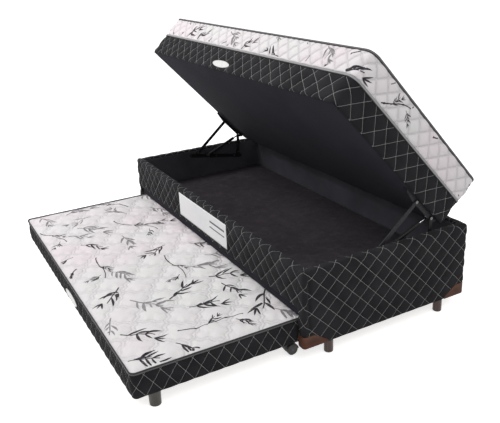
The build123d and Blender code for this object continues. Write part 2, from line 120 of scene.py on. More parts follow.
# Quilting and stitching
quilt_step = 0.006
quilt_low = -0.0030
quilt_rise = 0.0062
stitch_width = 0.0009
quilt_cell = 0.0575
# A wave texture of this scale repeats once a metre
metre_wave = 0.31416
# How far from each corner the stitch lines bend to meet those of the next side
side_margins = (0.20, 0.04, 0.24, 0.02)


# Materials

class Finish:
    """A material whose nodes are added by short calls."""

    def __init__(self, name, **values):
        self.material = bpy.data.materials.new(name)
        self.material.use_nodes = True
        self.tree = self.material.node_tree
        self.shader = self.tree.nodes["Principled BSDF"]
        for socket, value in values.items():
            self.shader.inputs[socket.replace("_", " ")].default_value = value
        self.places = self.add("ShaderNodeTexCoord").outputs["Object"]

    def add(self, kind, inputs=(), **settings):
        node = self.tree.nodes.new(kind)
        for key, value in settings.items():
            setattr(node, key, value)
        for key, value in dict(inputs).items():
            self.join(value, node.inputs[key])
        return node

    def join(self, value, socket):
        if isinstance(value, bpy.types.NodeSocket):
            self.tree.links.new(value, socket)
        else:
            socket.default_value = value

    def sum(self, operation, *values, clamp=False):
        node = self.add("ShaderNodeMath", dict(enumerate(values)), operation=operation)
        node.use_clamp = clamp
        return node.outputs[0]

    def stretch(self, scale):
        """Places scaled on each axis, for a texture that runs one way."""
        inputs = {"Vector": self.places, "Scale": scale}
        return self.add("ShaderNodeMapping", inputs).outputs[0]

    def noise(self, scale, detail=3.0, places=None, roughness=0.55):
        inputs = {"Vector": places or self.places, "Scale": scale, "Detail": detail,
                  "Roughness": roughness}
        return self.add("ShaderNodeTexNoise", inputs).outputs["Fac"]

    def cells(self, scale):
        inputs = {"Vector": self.places, "Scale": scale}
        return self.add("ShaderNodeTexVoronoi", inputs).outputs["Distance"]

    def waves(self, scale, direction, places=None, bend=0.0):
        inputs = {"Vector": places or self.places, "Scale": scale, "Distortion": bend}
        node = self.add("ShaderNodeTexWave", inputs, bands_direction=direction)
        return node.outputs["Fac"]

    def fade(self, value, low, high, start=0.0, end=1.0):
        """Turns a value between low and high into one between start and end."""
        inputs = {"Value": value, "From Min": low, "From Max": high, "To Min": start, "To Max": end}
        return self.add("ShaderNodeMapRange", inputs).outputs["Result"]

    def blend(self, share, first, second):
        node = self.add("ShaderNodeMix", data_type="RGBA")
        self.join(share, node.inputs[0])
        self.join(first, node.inputs[6])
        self.join(second, node.inputs[7])
        return node.outputs[2]

    def bump(self, height, distance, under=None):
        inputs = {"Height": height, "Distance": distance, "Strength": 1.0}
        if under is not None:
            inputs["Normal"] = under
        return self.add("ShaderNodeBump", inputs).outputs["Normal"]

    def axis(self, name):
        return self.add("ShaderNodeSeparateXYZ", {0: self.places}).outputs[name]

    def marks(self):
        """The two coordinates that the mesh carries for its stitches or bands."""
        node = self.add("ShaderNodeSeparateXYZ", {0: self.add("ShaderNodeUVMap").outputs[0]})
        return node.outputs["X"], node.outputs["Y"]

    def colour(self, value):
        self.join(value, self.shader.inputs["Base Color"])

    def roughness(self, value):
        self.join(value, self.shader.inputs["Roughness"])

    def normal(self, value):
        self.join(value, self.shader.inputs["Normal"])


def rgb(red, green, blue):
    return (red, green, blue, 1.0)


def knit(finish, pitch):
    """A fine weave as a height, with its threads this far apart."""
    across, along, upright = (finish.waves(metre_wave / pitch, way, bend=1.0) for way in "XYZ")
    return finish.sum("ADD", finish.sum("ADD", across, along), upright)


def stitches(finish, width, count, twin=0.0, groove=0.15):
    """How much sewing thread shows, along the whole numbers of the two marks or this far on
    both sides of them, and how far the cloth has risen beside it."""
    first, second = finish.marks()
    threads, rises = [], []
    for mark, other in ((first, second), (second, first)):
        off_line = finish.sum("PINGPONG", mark, 0.5)
        if twin:
            off_line = finish.sum("ABSOLUTE", finish.sum("SUBTRACT", off_line, twin))
        thread = finish.fade(off_line, width * 0.55, width, 1.0, 0.0)
        beat = finish.sum("FRACT", finish.sum("MULTIPLY", other, count))
        sewn = finish.fade(finish.sum("PINGPONG", beat, 0.5), 0.03, 0.12)
        threads.append(finish.sum("MULTIPLY", thread, sewn))
        rises.append(finish.sum("POWER", finish.fade(off_line, 0.0, groove), 0.5))
    return finish.sum("MAXIMUM", *threads), finish.sum("MULTIPLY", *rises)


def dark_quilt_finish():
    """Near-black knitted cover cloth with pale grey stitching."""
    finish = Finish("dark_quilt", Roughness=0.85, Sheen_Weight=0.02, Sheen_Roughness=0.45,
                    Specular_IOR_Level=0.07)
    thread, rise = stitches(finish, stitch_width / quilt_cell, 13)
    cloth = finish.blend(finish.fade(finish.noise(9), 0.35, 0.7), rgb(0.0165, 0.0158, 0.0178),
                         rgb(0.0270, 0.0258, 0.0285))
    fleck = finish.fade(finish.noise(900, 1), 0.62, 0.75, 0.0, 0.5)
    cloth = finish.blend(fleck, cloth, rgb(0.035, 0.034, 0.037))
    worn = finish.blend(finish.noise(30), rgb(0.30, 0.295, 0.295), rgb(0.52, 0.515, 0.51))
    finish.colour(finish.blend(thread, cloth, worn))
    weave = finish.bump(knit(finish, 0.0016), 0.00012)
    puffed = finish.bump(rise, 0.0030, under=weave)
    finish.normal(finish.bump(thread, 0.0006, under=puffed))
    return finish.material


def white_quilt_finish(name, width, cell, twin, groove, depth, shade):
    """Off-white ticking with a soft sheen, a fine weave and white stitching, with painted shade darkening
    the cloth along its seam grooves; shade sets how dark.
    """
    finish = Finish(name, Roughness=0.72, Sheen_Weight=0.15, Sheen_Roughness=0.4,
                    Specular_IOR_Level=0.3)
    thread, rise = stitches(finish, width / cell, 11, twin, groove)
    tone = finish.fade(finish.noise(2.6, 2), 0.38, 0.62)
    cloth = finish.blend(tone, rgb(0.800, 0.725, 0.755), rgb(0.765, 0.755, 0.750))
    damask = finish.waves(22, "DIAGONAL", bend=9.0)
    cloth = finish.blend(finish.fade(damask, 0.7, 0.85, 0.0, 0.25), cloth, rgb(0.79, 0.78, 0.78))
    # Painted shade: the cloth turns grey along the seam grooves, where the puffed cells would shade them, as
    # strongly as shade says.
    cloth = finish.blend(finish.fade(rise, 0.0, 0.8, shade, 0.0), cloth, rgb(0.40, 0.38, 0.39))
    finish.colour(finish.blend(thread, cloth, rgb(0.84, 0.83, 0.83)))
    finish.roughness(finish.fade(damask, 0.6, 0.9, 0.8, 0.6))
    weave = finish.bump(knit(finish, 0.0012), 0.00008)
    pucker = finish.noise(75, 2, roughness=0.4)
    low = finish.sum("SUBTRACT", 1.0, rise)
    wrinkled = finish.bump(finish.sum("MULTIPLY", pucker, low), 0.0022, under=weave)
    puffed = finish.bump(rise, depth, under=wrinkled)
    finish.normal(finish.bump(thread, 0.0005, under=puffed))
    return finish.material


def tape_finish(name, middle, edge, inner):
    """Ribbed edge tape, with one colour at its middle and another along its edges, and painted shade in the
    troughs between its ribs.
    """
    finish = Finish(name, Roughness=0.7, Sheen_Weight=0.1, Specular_IOR_Level=0.3)
    along, across = finish.marks()
    off_middle = finish.sum("ABSOLUTE", finish.sum("SUBTRACT", across, 0.5))
    band = finish.fade(off_middle, inner - 0.05, inner + 0.05)
    rib = finish.sum("PINGPONG", finish.sum("MULTIPLY", along, 1 / 0.003), 0.5)
    # Painted shade: the colour is dimmed to three quarters in the troughs between the ribs.
    shade = finish.blend(finish.fade(rib, 0.0, 0.5, 0.75, 1.0), rgb(0, 0, 0), middle)
    finish.colour(finish.blend(band, shade, edge))
    ridge = finish.sum("ADD", rib, finish.sum("SINE", finish.sum("MULTIPLY", across, 40.0)))
    finish.normal(finish.bump(ridge, 0.0004))
    return finish.material


def suede_finish():
    """Brushed purple-grey cloth of the well floor, with clouds and nap."""
    finish = Finish("well_cloth", Roughness=0.92, Sheen_Weight=0.06, Sheen_Roughness=0.5,
                    Specular_IOR_Level=0.08)
    cloud = finish.fade(finish.noise(3.2, 5, roughness=0.65), 0.35, 0.68)
    cloth = finish.blend(cloud, rgb(0.020, 0.017, 0.022), rgb(0.038, 0.032, 0.038))
    crushed = finish.fade(finish.noise(19, 5, roughness=0.72), 0.50, 0.68)
    cloth = finish.blend(finish.sum("MULTIPLY", crushed, 0.65), cloth, rgb(0.056, 0.043, 0.048))
    dark = finish.fade(finish.noise(27, 4, finish.stretch((1.0, 1.3, 1.0)), 0.7), 0.52, 0.62)
    cloth = finish.blend(finish.sum("MULTIPLY", dark, 0.5), cloth, rgb(0.016, 0.014, 0.018))
    nap = finish.fade(finish.noise(160, 3), 0.4, 0.7)
    finish.colour(finish.blend(finish.sum("MULTIPLY", nap, 0.25), cloth, rgb(0.055, 0.048, 0.052)))
    finish.normal(finish.bump(finish.noise(420, 2), 0.0005))
    return finish.material


def plain_cloth_finish(name, dark, pale, weave, sheen=0.02):
    """A plain woven cloth in two close tones."""
    finish = Finish(name, Roughness=0.88, Sheen_Weight=sheen, Specular_IOR_Level=0.08)
    tone = finish.fade(finish.noise(4, 4), 0.35, 0.68)
    finish.colour(finish.blend(tone, dark, pale))
    finish.normal(finish.bump(knit(finish, weave), 0.0001, under=finish.bump(finish.noise(60), 0.0004)))
    return finish.material


def leather_finish():
    """Reddish-brown leather that has faded to tan towards its top edge, with a pebbled grain."""
    finish = Finish("guard_leather", Specular_IOR_Level=0.16)
    height = finish.axis("Z")
    worn = finish.sum("ADD", height, finish.sum("MULTIPLY", finish.noise(25), 0.03))
    faded = finish.fade(worn, 0.100, 0.138)
    skin = finish.blend(finish.fade(finish.noise(14), 0.35, 0.65), rgb(0.050, 0.017, 0.009),
                        rgb(0.095, 0.032, 0.015))
    grain = finish.cells(420)
    skin = finish.blend(finish.fade(grain, 0.0, 0.35, 0.45, 0.0), skin, rgb(0.026, 0.011, 0.008))
    finish.colour(finish.blend(faded, skin, rgb(0.13, 0.058, 0.034)))
    finish.roughness(finish.fade(grain, 0.0, 0.6, 0.6, 0.42))
    finish.normal(finish.bump(grain, 0.0006))
    return finish.material


def wood_finish(name, dark, pale):
    """Sawn timber with its grain along the bed."""
    finish = Finish(name, Roughness=0.7, Specular_IOR_Level=0.3)
    rings = finish.noise(6, 5, finish.stretch((1.0, 14.0, 14.0)))
    lines = finish.waves(9, "Y", finish.stretch((0.25, 3.0, 3.0)), bend=5.0)
    share = finish.sum("MULTIPLY", finish.sum("ADD", rings, lines), 0.5)
    finish.colour(finish.blend(finish.fade(share, 0.25, 0.75), dark, pale))
    finish.normal(finish.bump(share, 0.0006))
    return finish.material


def turned_wood_finish(name, dark, pale, roughness):
    """Stained and varnished turned wood, with upright grain."""
    finish = Finish(name, Roughness=roughness, Specular_IOR_Level=0.4, Coat_Weight=0.1,
                    Coat_Roughness=0.25)
    grain = finish.noise(18, 5, finish.stretch((9.0, 9.0, 0.8)))
    finish.colour(finish.blend(finish.fade(grain, 0.35, 0.65), dark, pale))
    finish.normal(finish.bump(grain, 0.0003))
    return finish.material


def metal_finish(name, colour, dark, roughness, metallic=1.0, grain=0.0002):
    """Metal or painted metal with small scuffs."""
    finish = Finish(name, Metallic=metallic, Specular_IOR_Level=0.5 if metallic else 0.2)
    scuff = finish.noise(70, 5)
    finish.colour(finish.blend(finish.fade(scuff, 0.35, 0.7), dark, colour))
    finish.roughness(finish.fade(finish.noise(220, 3), 0.3, 0.7, roughness - 0.08, roughness + 0.12))
    finish.normal(finish.bump(finish.noise(600, 2), grain))
    return finish.material


def plastic_finish(name, colour, pale, roughness, grain=0.0002):
    """Moulded plastic with a fine grain and a little dust."""
    finish = Finish(name, Specular_IOR_Level=0.45)
    finish.colour(finish.blend(finish.fade(finish.noise(40, 4), 0.45, 0.8), colour, pale))
    finish.roughness(finish.fade(finish.noise(90, 3), 0.3, 0.7, roughness, roughness + 0.15))
    finish.normal(finish.bump(finish.noise(900, 2), grain))
    return finish.material


def ink_finish(name, dark, pale):
    """Printed ink, soaked into the weave."""
    finish = Finish(name, Roughness=0.8, Specular_IOR_Level=0.2)
    finish.colour(finish.blend(finish.fade(finish.noise(60, 3), 0.35, 0.7), dark, pale))
    finish.normal(finish.bump(knit(finish, 0.0012), 0.00008))
    return finish.material


quilt_material = dark_quilt_finish()
# Shade is how strongly each cloth is darkened in its seam grooves, as painted shade.
ogee_material = white_quilt_finish("mattress_top_cloth", width=0.0011, cell=0.13, twin=0.055,
                                   groove=0.07, depth=0.0040, shade=0.42)
ticking_material = white_quilt_finish("mattress_side_cloth", width=0.0011, cell=0.058, twin=0.0,
                                      groove=0.15, depth=0.0065, shade=0.55)
upper_tape_material = tape_finish("upper_tape", rgb(0.20, 0.20, 0.205), rgb(0.035, 0.035, 0.04), 0.16)
lower_tape_material = tape_finish("lower_tape", rgb(0.46, 0.46, 0.465), rgb(0.05, 0.05, 0.055), 0.36)
trundle_tape_material = tape_finish("trundle_tape", rgb(0.17, 0.17, 0.175), rgb(0.03, 0.03, 0.033), 0.12)
suede_material = suede_finish()
lining_material = plain_cloth_finish("dark_lining", rgb(0.060, 0.058, 0.070),
                                     rgb(0.092, 0.089, 0.106), 0.0018, 0.06)
underside_material = plain_cloth_finish("underside_cloth", rgb(0.0150, 0.0146, 0.0220),
                                        rgb(0.0215, 0.0208, 0.0300), 0.0015, 0.03)
felt_material = plain_cloth_finish("felt_grey", rgb(0.16, 0.16, 0.16), rgb(0.24, 0.23, 0.23), 0.003)
patch_material = plain_cloth_finish("patch_cloth", rgb(0.84, 0.84, 0.85), rgb(0.90, 0.90, 0.90), 0.0011)
leather_material = leather_finish()
timber_material = wood_finish("frame_wood", rgb(0.36, 0.23, 0.12), rgb(0.56, 0.40, 0.24))
foot_material = turned_wood_finish("dark_foot", rgb(0.038, 0.021, 0.016), rgb(0.088, 0.052, 0.040), 0.34)
trundle_foot_material = turned_wood_finish("trundle_foot", rgb(0.036, 0.034, 0.027),
                                           rgb(0.074, 0.070, 0.058), 0.4)
black_steel = metal_finish("steel_black", rgb(0.014, 0.014, 0.015), rgb(0.007, 0.007, 0.008), 0.45, 0.0)
grey_steel = metal_finish("steel_grey", rgb(0.024, 0.024, 0.027), rgb(0.014, 0.014, 0.016), 0.5, 0.0)
bare_steel = metal_finish("steel_bare", rgb(0.20, 0.20, 0.20), rgb(0.12, 0.12, 0.12), 0.35)
chrome = metal_finish("rod_chrome", rgb(0.42, 0.42, 0.43), rgb(0.34, 0.34, 0.35), 0.12, grain=0.00002)
castor_material = plastic_finish("castor_plastic", rgb(0.018, 0.018, 0.018), rgb(0.05, 0.05, 0.05), 0.38)
wheel_material = plastic_finish("wheel_plastic", rgb(0.030, 0.030, 0.030), rgb(0.070, 0.070, 0.068), 0.45)
badge_material = plastic_finish("badge_plate", rgb(0.74, 0.74, 0.72), rgb(0.66, 0.66, 0.64), 0.25, 0.00005)
bar_material = ink_finish("bar_ink", rgb(0.11, 0.11, 0.12), rgb(0.19, 0.19, 0.20))
dark_ink = ink_finish("dark_ink", rgb(0.022, 0.020, 0.026), rgb(0.060, 0.055, 0.065))
faded_ink = ink_finish("faded_ink", rgb(0.19, 0.18, 0.19), rgb(0.40, 0.38, 0.40))


# Meshes

def mesh_object(name, points, faces, body, material, marks=None):
    """A piece from points and faces. Marks are two numbers for each corner of each face."""
    mesh = bpy.data.meshes.new(name)
    mesh.from_pydata(np.asarray(points).reshape(-1, 3).tolist(), [], faces)
    if marks is not None:
        layer = mesh.uv_layers.new(name="marks")
        layer.data.foreach_set("uv", np.asarray(marks, dtype=np.float32).ravel())
    mesh.polygons.foreach_set("use_smooth", [True] * len(mesh.polygons))
    materials = material if isinstance(material, (list, tuple)) else [material]
    for one in materials:
        mesh.materials.append(one)
    piece = bpy.data.objects.new(name, mesh)
    bpy.context.scene.collection.objects.link(piece)
    piece["body"] = body
    return piece


def settle(piece, *nodes, slot=None):
    """The piece rides its body and stands for these CAD nodes. The slot is not used."""
    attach(piece, piece["body"])
    if nodes:
        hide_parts(*nodes)
    return piece


def skin(rows, columns, close_rows, close_columns, turned=False):
    """Faces over a grid of points, and for each corner its row and column as an open grid counts."""
    faces = []
    corners = []
    for i in range(rows if close_rows else rows - 1):
        for j in range(columns if close_columns else columns - 1):
            square = [(i, j), (i + 1, j), (i + 1, j + 1), (i, j + 1)]
            if turned:
                square.reverse()
            faces.append([(a % rows) * columns + b % columns for a, b in square])
            corners.extend(square)
    return faces, np.array(corners)


def sag(x, y, z=0.0, scale=1.0, seed=0.0):
    """Smooth noise between about -1 and 1 over arrays of places."""
    shape = np.broadcast(x, y, z).shape
    places = zip(*(np.broadcast_to(v, shape).ravel() * scale for v in (x, y, z)))
    values = [noise.noise(Vector((a + seed, b, c))) for a, b, c in places]
    return np.array(values).reshape(shape)


def lid_place(points):
    """Moves points from the lid's own frame to where the open lid stands."""
    x, y, z = np.moveaxis(np.asarray(points, dtype=float), -1, 0)
    row_y = lid_rear_edge[0] + y * cos(lid_angle) + z * sin(lid_angle)
    row_z = lid_rear_edge[1] - y * sin(lid_angle) + z * cos(lid_angle)
    return np.stack([x, row_y, row_z], axis=-1)


def stay(points):
    return np.asarray(points, dtype=float)


class Loop:
    """A rounded rectangle walked from the middle of its rear side over the head end."""

    least_radius = 0.0015
    corner_run = 0.09

    def __init__(self, half, front, rear, radius, step):
        self.radius = radius
        self.middle_y = (front + rear) / 2
        half_y = (rear - front) / 2
        turn = max(int(ceil(radius * pi / 2 / min(step, 0.005))), 4)
        starts, ends = [], []
        place, normal, sign, share, along = [], [], [], [], []
        walked = 0.0
        # Each side as its outward normal, its walking direction and its half length
        sides = [((0, 1), (-1, 0), half, half_y), ((-1, 0), (0, -1), half_y, half),
                 ((0, -1), (1, 0), half, half_y), ((1, 0), (0, 1), half_y, half),
                 ((0, 1), (-1, 0), half, half_y)]
        for number, (out, way, reach, off) in enumerate(sides):
            out, way = np.array(out, float), np.array(way, float)
            start = 0.0 if number == 0 else -(reach - radius)
            end = 0.0 if number == 4 else reach - radius
            count = max(int(round((end - start) / step)), 2)
            starts.append(walked)
            for k in range(count):
                t = start + (end - start) * k / count
                place.append(out * off + way * t)
                normal.append(out)
                sign.append(way * (1 if t > 0 else -1))
                share.append(max(0.0, 1 - (reach - radius - abs(t)) / self.corner_run))
                along.append(walked + t - start)
            walked += end - start
            ends.append(walked)
            if number < 4:
                centre = out * (off - radius) + way * (reach - radius)
                for k in range(turn):
                    angle = pi / 2 * k / turn
                    bent = out * cos(angle) + way * sin(angle)
                    place.append(centre + bent * radius)
                    normal.append(bent)
                    sign.append(out + way)
                    share.append(-1.0)
                    along.append(walked + radius * angle)
                walked += radius * pi / 2
        self.place = np.array(place) + [0, self.middle_y]
        self.normal = np.array(normal)
        self.sign = np.array(sign)
        self.share = np.array(share)
        self.along = np.array(along)
        self.total = walked
        self.side_starts, self.side_ends = starts, ends
        self.side_middles = [0.0] + [(a + b) / 2 for a, b in zip(starts[1:4], ends[1:4])]
        self.count = len(place)

    def inset(self, depth):
        """Places this deep inside the outline, given as one row of depths for each point."""
        depth = np.asarray(depth, dtype=float)
        tight = np.maximum(self.radius - depth, self.least_radius)
        shift = (depth + tight - self.radius)[..., None]
        sign = self.sign[:, None, :]
        normal = self.normal[:, None, :]
        share = self.share[:, None, None]
        straight = self.place[:, None, :] - normal * depth[..., None] - sign * shift * np.abs(share)
        centre = self.place[:, None, :] - normal * self.radius
        arc = centre - sign * shift + normal * tight[..., None]
        return np.where(share < 0, arc, straight)

    def changed(self, **values):
        """A copy with some of its values replaced."""
        copy = object.__new__(Loop)
        copy.__dict__.update(self.__dict__, **values)
        return copy

    def part(self, start, end):
        """The points from one distance along the loop to another, which may be past its start."""
        walked = np.concatenate([self.along, self.along + self.total])
        chosen = np.where((walked > start - 1e-9) & (walked < end + 1e-9))[0]
        values = {key: getattr(self, key)[chosen % self.count]
                  for key in ("place", "normal", "sign", "share")}
        return self.changed(along=walked[chosen], count=len(chosen), **values)


def side_phases(loop, pitch, nodes):
    """For each point of a loop, what to add and multiply to get its two stitch marks.

    Nodes gives for each side, rear, head, front and foot, the place and height of one crossing
    of the stitch lines, and the slopes of the two families.
    """
    keys, firsts, seconds, slopes_a, slopes_b = [], [], [], [], []
    last = None
    for side in (0, 1, 2, 3, 4):
        place, height, slope_a, slope_b = nodes[side % 4]
        middle = loop.side_middles[side] if side < 4 else loop.total
        along = middle + place
        a = -along / pitch - slope_a * height / pitch
        b = -along / pitch + slope_b * height / pitch
        if last is not None:
            a -= round(a - last[0])
            b -= round(b - last[1])
        last = (a, b)
        margin = side_margins[side % 4]
        start = loop.side_starts[side] + (margin if side else 0)
        end = loop.side_ends[side] - (margin if side < 4 else 0)
        for key in (start, end):
            keys.append(key)
            firsts.append(a)
            seconds.append(b)
            slopes_a.append(slope_a)
            slopes_b.append(slope_b)
    spread = [np.interp(loop.along, keys, values) for values in (firsts, seconds, slopes_a, slopes_b)]
    return spread


def side_marks(loop, pitch, nodes, heights):
    """The two marks at each point of a loop and each height on its side."""
    first, second, slope_a, slope_b = side_phases(loop, pitch, nodes)
    along = loop.along[:, None] / pitch
    heights = np.asarray(heights)[None, :] / pitch
    a = along + first[:, None] + slope_a[:, None] * heights
    b = along + second[:, None] - slope_b[:, None] * heights
    return a, b


def pillow(a, b, power=0.45):
    """0 on the stitch lines and 1 in the middle of each cell between them."""
    return (np.abs(np.sin(pi * a)) * np.abs(np.sin(pi * b))) ** power


def arc_points(centre, radius, start, end, count):
    """Points (depth, height) round a centre, and the way that they face."""
    angles = np.linspace(radians(start), radians(end), count)
    return [(centre[0] - radius * cos(t), centre[1] + radius * sin(t), cos(t), sin(t)) for t in angles]


def quilted_side(name, loop, outline, pitch, nodes, body, move, closed, flat):
    """A padded cover round a loop. Outline has, for each point of its section, depth, height,
    the way that it faces, how far it is along the cloth, and how much it is quilted. Flat is a
    function that says where the quilting is pressed flat and how deep the cover sinks."""
    depth, height, face_out, face_up, run, share = np.array(outline).T
    marks = side_marks(loop, pitch, nodes, run)
    puff = quilt_low + quilt_rise * pillow(*marks)
    wrinkle = sag(loop.along[:, None], run[None, :], 0.0, 28.0, 3.1) * 0.0005
    pressed, dent = flat(loop, height)
    off = (puff + wrinkle) * share[None, :]
    off = off * (1 - pressed) - 0.0006 * pressed * share[None, :] - dent * share[None, :]
    places = loop.inset(depth[None, :] - off * face_out[None, :])
    heights = height[None, :] + off * face_up[None, :]
    points = np.concatenate([places, heights[..., None]], axis=-1)
    faces, corners = skin(loop.count, len(outline), closed, True)
    if closed:
        end = side_marks(loop.changed(along=np.array([loop.total])), pitch, nodes, run)
        marks = [np.vstack(pair) for pair in zip(marks, end)]
    marks = [np.hstack([grid, grid[:, :1]])[corners[:, 0], corners[:, 1]] for grid in marks]
    marks = np.stack(marks, -1)
    if not closed:
        columns = len(outline)
        faces.append(list(range(columns)))
        faces.append([(loop.count - 1) * columns + j for j in reversed(range(columns))])
        marks = np.vstack([marks, np.full((2 * columns, 2), 0.5)])
    return mesh_object(name, move(points), faces, body, quilt_material, marks)


def section_runs(points, shares, start):
    """Adds how far each section point is along the cloth, from a start height."""
    rows = []
    run = start
    for k, (depth, height, out, up) in enumerate(points):
        if k:
            run += sqrt((depth - points[k - 1][0]) ** 2 + (height - points[k - 1][1]) ** 2)
        rows.append((depth, height, out, up, run, shares[k]))
    return rows


def face_share(point, bottom, top):
    """How much the cloth may puff here: little at the hems, and fully on the face between."""
    height = point[1]
    hem = min((height - bottom) / hem_run, 1.0)
    rim = min(max((top + 0.004 - height) / rim_run, least_at_rim), 1.0)
    return min(least_at_hem + (1 - least_at_hem) * hem, rim)


# Base covers

hem_run = 0.022
rim_run = 0.030
least_at_hem = 0.12
least_at_rim = 0.30
section_corner = 0.004


def base_section(bottom):
    """The section of a base cover: up its face, over the rim and down to the boards."""
    hem = bottom + section_corner
    face_heights = np.arange(hem, base_top - rim_radius, quilt_step)
    points = arc_points((section_corner, hem), section_corner, -90, 0, 4)[:-1]
    points += [(0.0, z, 1.0, 0.0) for z in face_heights]
    points += arc_points((rim_radius, base_top - rim_radius), rim_radius, 0, 90, 8)
    inner = (rim_depth - rim_inner_radius, base_top - rim_inner_radius)
    points += [(2 * inner[0] - d, z, -out, up) for d, z, out, up in
               arc_points(inner, rim_inner_radius, 90, 10, 5)]
    shares = [face_share(point, bottom, base_top - rim_radius) for point in points]
    shares[-1] = shares[-2] = 0.2
    rows = section_runs(points, shares, bottom)
    last = rows[-1][4]
    top = board_top + 0.0004
    for depth, height in ((rim_depth - 0.0004, top), (cover_depth, top), (cover_depth, bottom + 0.001)):
        rows.append((depth, height, 0.0, 0.0, last, 0.0))
    return rows


base_loop = Loop(half_length, base_low[1], base_high[1], corner_radius, quilt_step)
quilt_pitch = 0.081
end_node_y = -0.3585 + quilt_pitch * 4
front_node_x = 0.0315
base_nodes = [(0.0, 0.378, 1.0, 1.0), (-end_node_y, 0.378, 1.0, 1.0),
              (front_node_x, 0.398, 1.0, 1.0), (end_node_y + quilt_pitch / 2, 0.378, 1.0, 1.0)]
guard_foot_run = 0.118
guard_head_run = 0.050
guard_top = 0.115
guard_slant_start = 0.070
valley_place = 0.0266
valley_width = 0.0062
valley_depth = 0.0082
post_place = 0.009
post_swell = 0.0040
# How far the end covers reach round the rear corners
cover_wrap = 0.03
patch_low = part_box("front_patch")[0]
patch_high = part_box("front_patch")[1]
corner_alongs = [(base_loop.side_ends[k] + base_loop.side_starts[k + 1]) / 2 for k in range(4)]


def guard_run(height):
    """How far a corner guard reaches from the corner along the end, at a height."""
    slope = (height - guard_slant_start) / (guard_top - guard_slant_start)
    return guard_foot_run + (guard_head_run - guard_foot_run) * np.clip(slope, 0, 1)


def base_pressed(loop, heights):
    """How much a guard or the patch presses the base quilting flat, from 0 to 1."""
    pressed = np.zeros((loop.count, len(heights)))
    for k, corner in enumerate(corner_alongs):
        off = loop.along - corner
        to_end = off if k in (0, 2) else -off
        reach = guard_run(heights)[None, :] + 0.002
        on_end = (to_end[:, None] > 0) & (to_end[:, None] < reach)
        on_post = (to_end[:, None] <= 0) & (to_end[:, None] > -rim_depth - 0.002)
        low = (heights < guard_top + 0.004)[None, :]
        pressed = np.maximum(pressed, ((on_end | on_post) & low).astype(float))
    on_front = (loop.normal[:, 1] < -0.99)[:, None]
    across = (np.abs(loop.place[:, 0]) < patch_high[0] + 0.001)[:, None]
    level = ((heights > patch_low[2] - 0.002) & (heights < patch_high[2] + 0.002))[None, :]
    pressed = np.maximum(pressed, (on_front & across & level).astype(float))
    dent, drawn = corner_valleys(loop, heights)
    return np.maximum(pressed, drawn), dent * (1 - pressed)


def corner_valleys(loop, heights):
    """How deep the cover sinks where it is drawn tight beside the two front corners, and how
    much its quilting is drawn flat there."""
    dent = np.zeros((loop.count, len(heights)))
    drawn = np.zeros((loop.count, len(heights)))
    for k, way in ((1, -1), (2, 1)):
        to_end = (loop.along - corner_alongs[k]) * way
        sunk = np.exp(-((to_end - valley_place) / valley_width) ** 2)[:, None]
        drawn = np.maximum(drawn, sunk)
        dent += valley_depth * sunk
        dent -= post_swell * np.exp(-((to_end - post_place) / valley_width) ** 2)[:, None]
    return dent, drawn


def loop_stop(along):
    """The point of the base outline nearest to a distance round it, in the same round."""
    stops = base_loop.along + along // base_loop.total * base_loop.total
    return stops[np.argmin(np.abs(stops - along))]


def base_cover(name, start, end, bottom, node):
    piece = quilted_side(name, base_loop.part(loop_stop(start), loop_stop(end)), base_section(bottom),
                         quilt_pitch, base_nodes, "base", stay, False, base_pressed)
    return settle(piece, node, slot="dark_quilt")


head_middle, front_middle, foot_middle = base_loop.side_middles[1:]
door_start = front_middle - well_half_length
door_end = front_middle + well_half_length
rear_start = foot_middle + half_width + cover_wrap
rear_end = head_middle - half_width - cover_wrap
covers = [base_cover("front_band_quilt", door_start, door_end, band_bottom, "front_cover"),
          base_cover("head_end_quilt", rear_end, door_start, base_bottom, "end_cover_head"),
          base_cover("foot_end_quilt", door_end, rear_start, base_bottom, "end_cover_foot"),
          base_cover("rear_quilt", rear_start, base_loop.total + rear_end, base_bottom, "rear_cover")]


# Lid and trundle covers

def skirt_section(bottom, top, tuck):
    """The section of a side cover: a tucked lower edge, its face and its top under the tape."""
    points = arc_points((tuck, bottom + tuck), tuck, -80, 0, 6)[:-1]
    points += [(0.0, z, 1.0, 0.0) for z in np.arange(bottom + tuck, top - section_corner, quilt_step)]
    points += arc_points((section_corner, top - section_corner), section_corner, 0, 80, 3)
    shares = [face_share(point, bottom, top) for point in points]
    rows = section_runs(points, shares, bottom)
    last = rows[-1][4]
    rows.append((cover_depth, top - 0.0004, 0.0, 0.0, last, 0.0))
    rows.append((cover_depth, bottom + 0.0004, 0.0, 0.0, last, 0.0))
    return rows


lid_loop = Loop(lid_half, lid_front, lid_rear, lid_radius, quilt_step)
lid_pitch = 0.0835
lid_middle = (lid_front + lid_rear) / 2
lid_foot_node = -0.851 - lid_middle
lid_nodes = [(0.0, 0.094, 1.0, 1.0), (-lid_foot_node, 0.094, 0.95, 0.95),
             (0.006, 0.100, 1.3, 0.75), (lid_foot_node, 0.094, 0.95, 0.95)]
lid_badge_place = (-0.046, 0.031)
lid_badge_size = (0.166, 0.038)
trundle_badge_place = (0.040, 0.103)
trundle_badge_size = (0.190, 0.044)


def badge_pressed(place, size):
    """A function that says where a badge presses the quilting of the front flat."""
    def pressed(loop, heights):
        across = (loop.place[:, 0] - place[0])[:, None] / (size[0] / 2 + 0.006)
        level = (heights - place[1])[None, :] / (size[1] / 2 + 0.006)
        on_front = (loop.normal[:, 1] < -0.99)[:, None]
        under = (across ** 2 + level ** 2 < 1.0) & on_front
        return under.astype(float), np.zeros(under.shape)
    return pressed


lid_cover = quilted_side("lid_side_quilt", lid_loop, skirt_section(0.0, lid_cover_height, 0.012),
                         lid_pitch, lid_nodes, "lid", lid_place, True,
                         badge_pressed(lid_badge_place, lid_badge_size))
settle(lid_cover, "lid_side_cover", slot="dark_quilt")

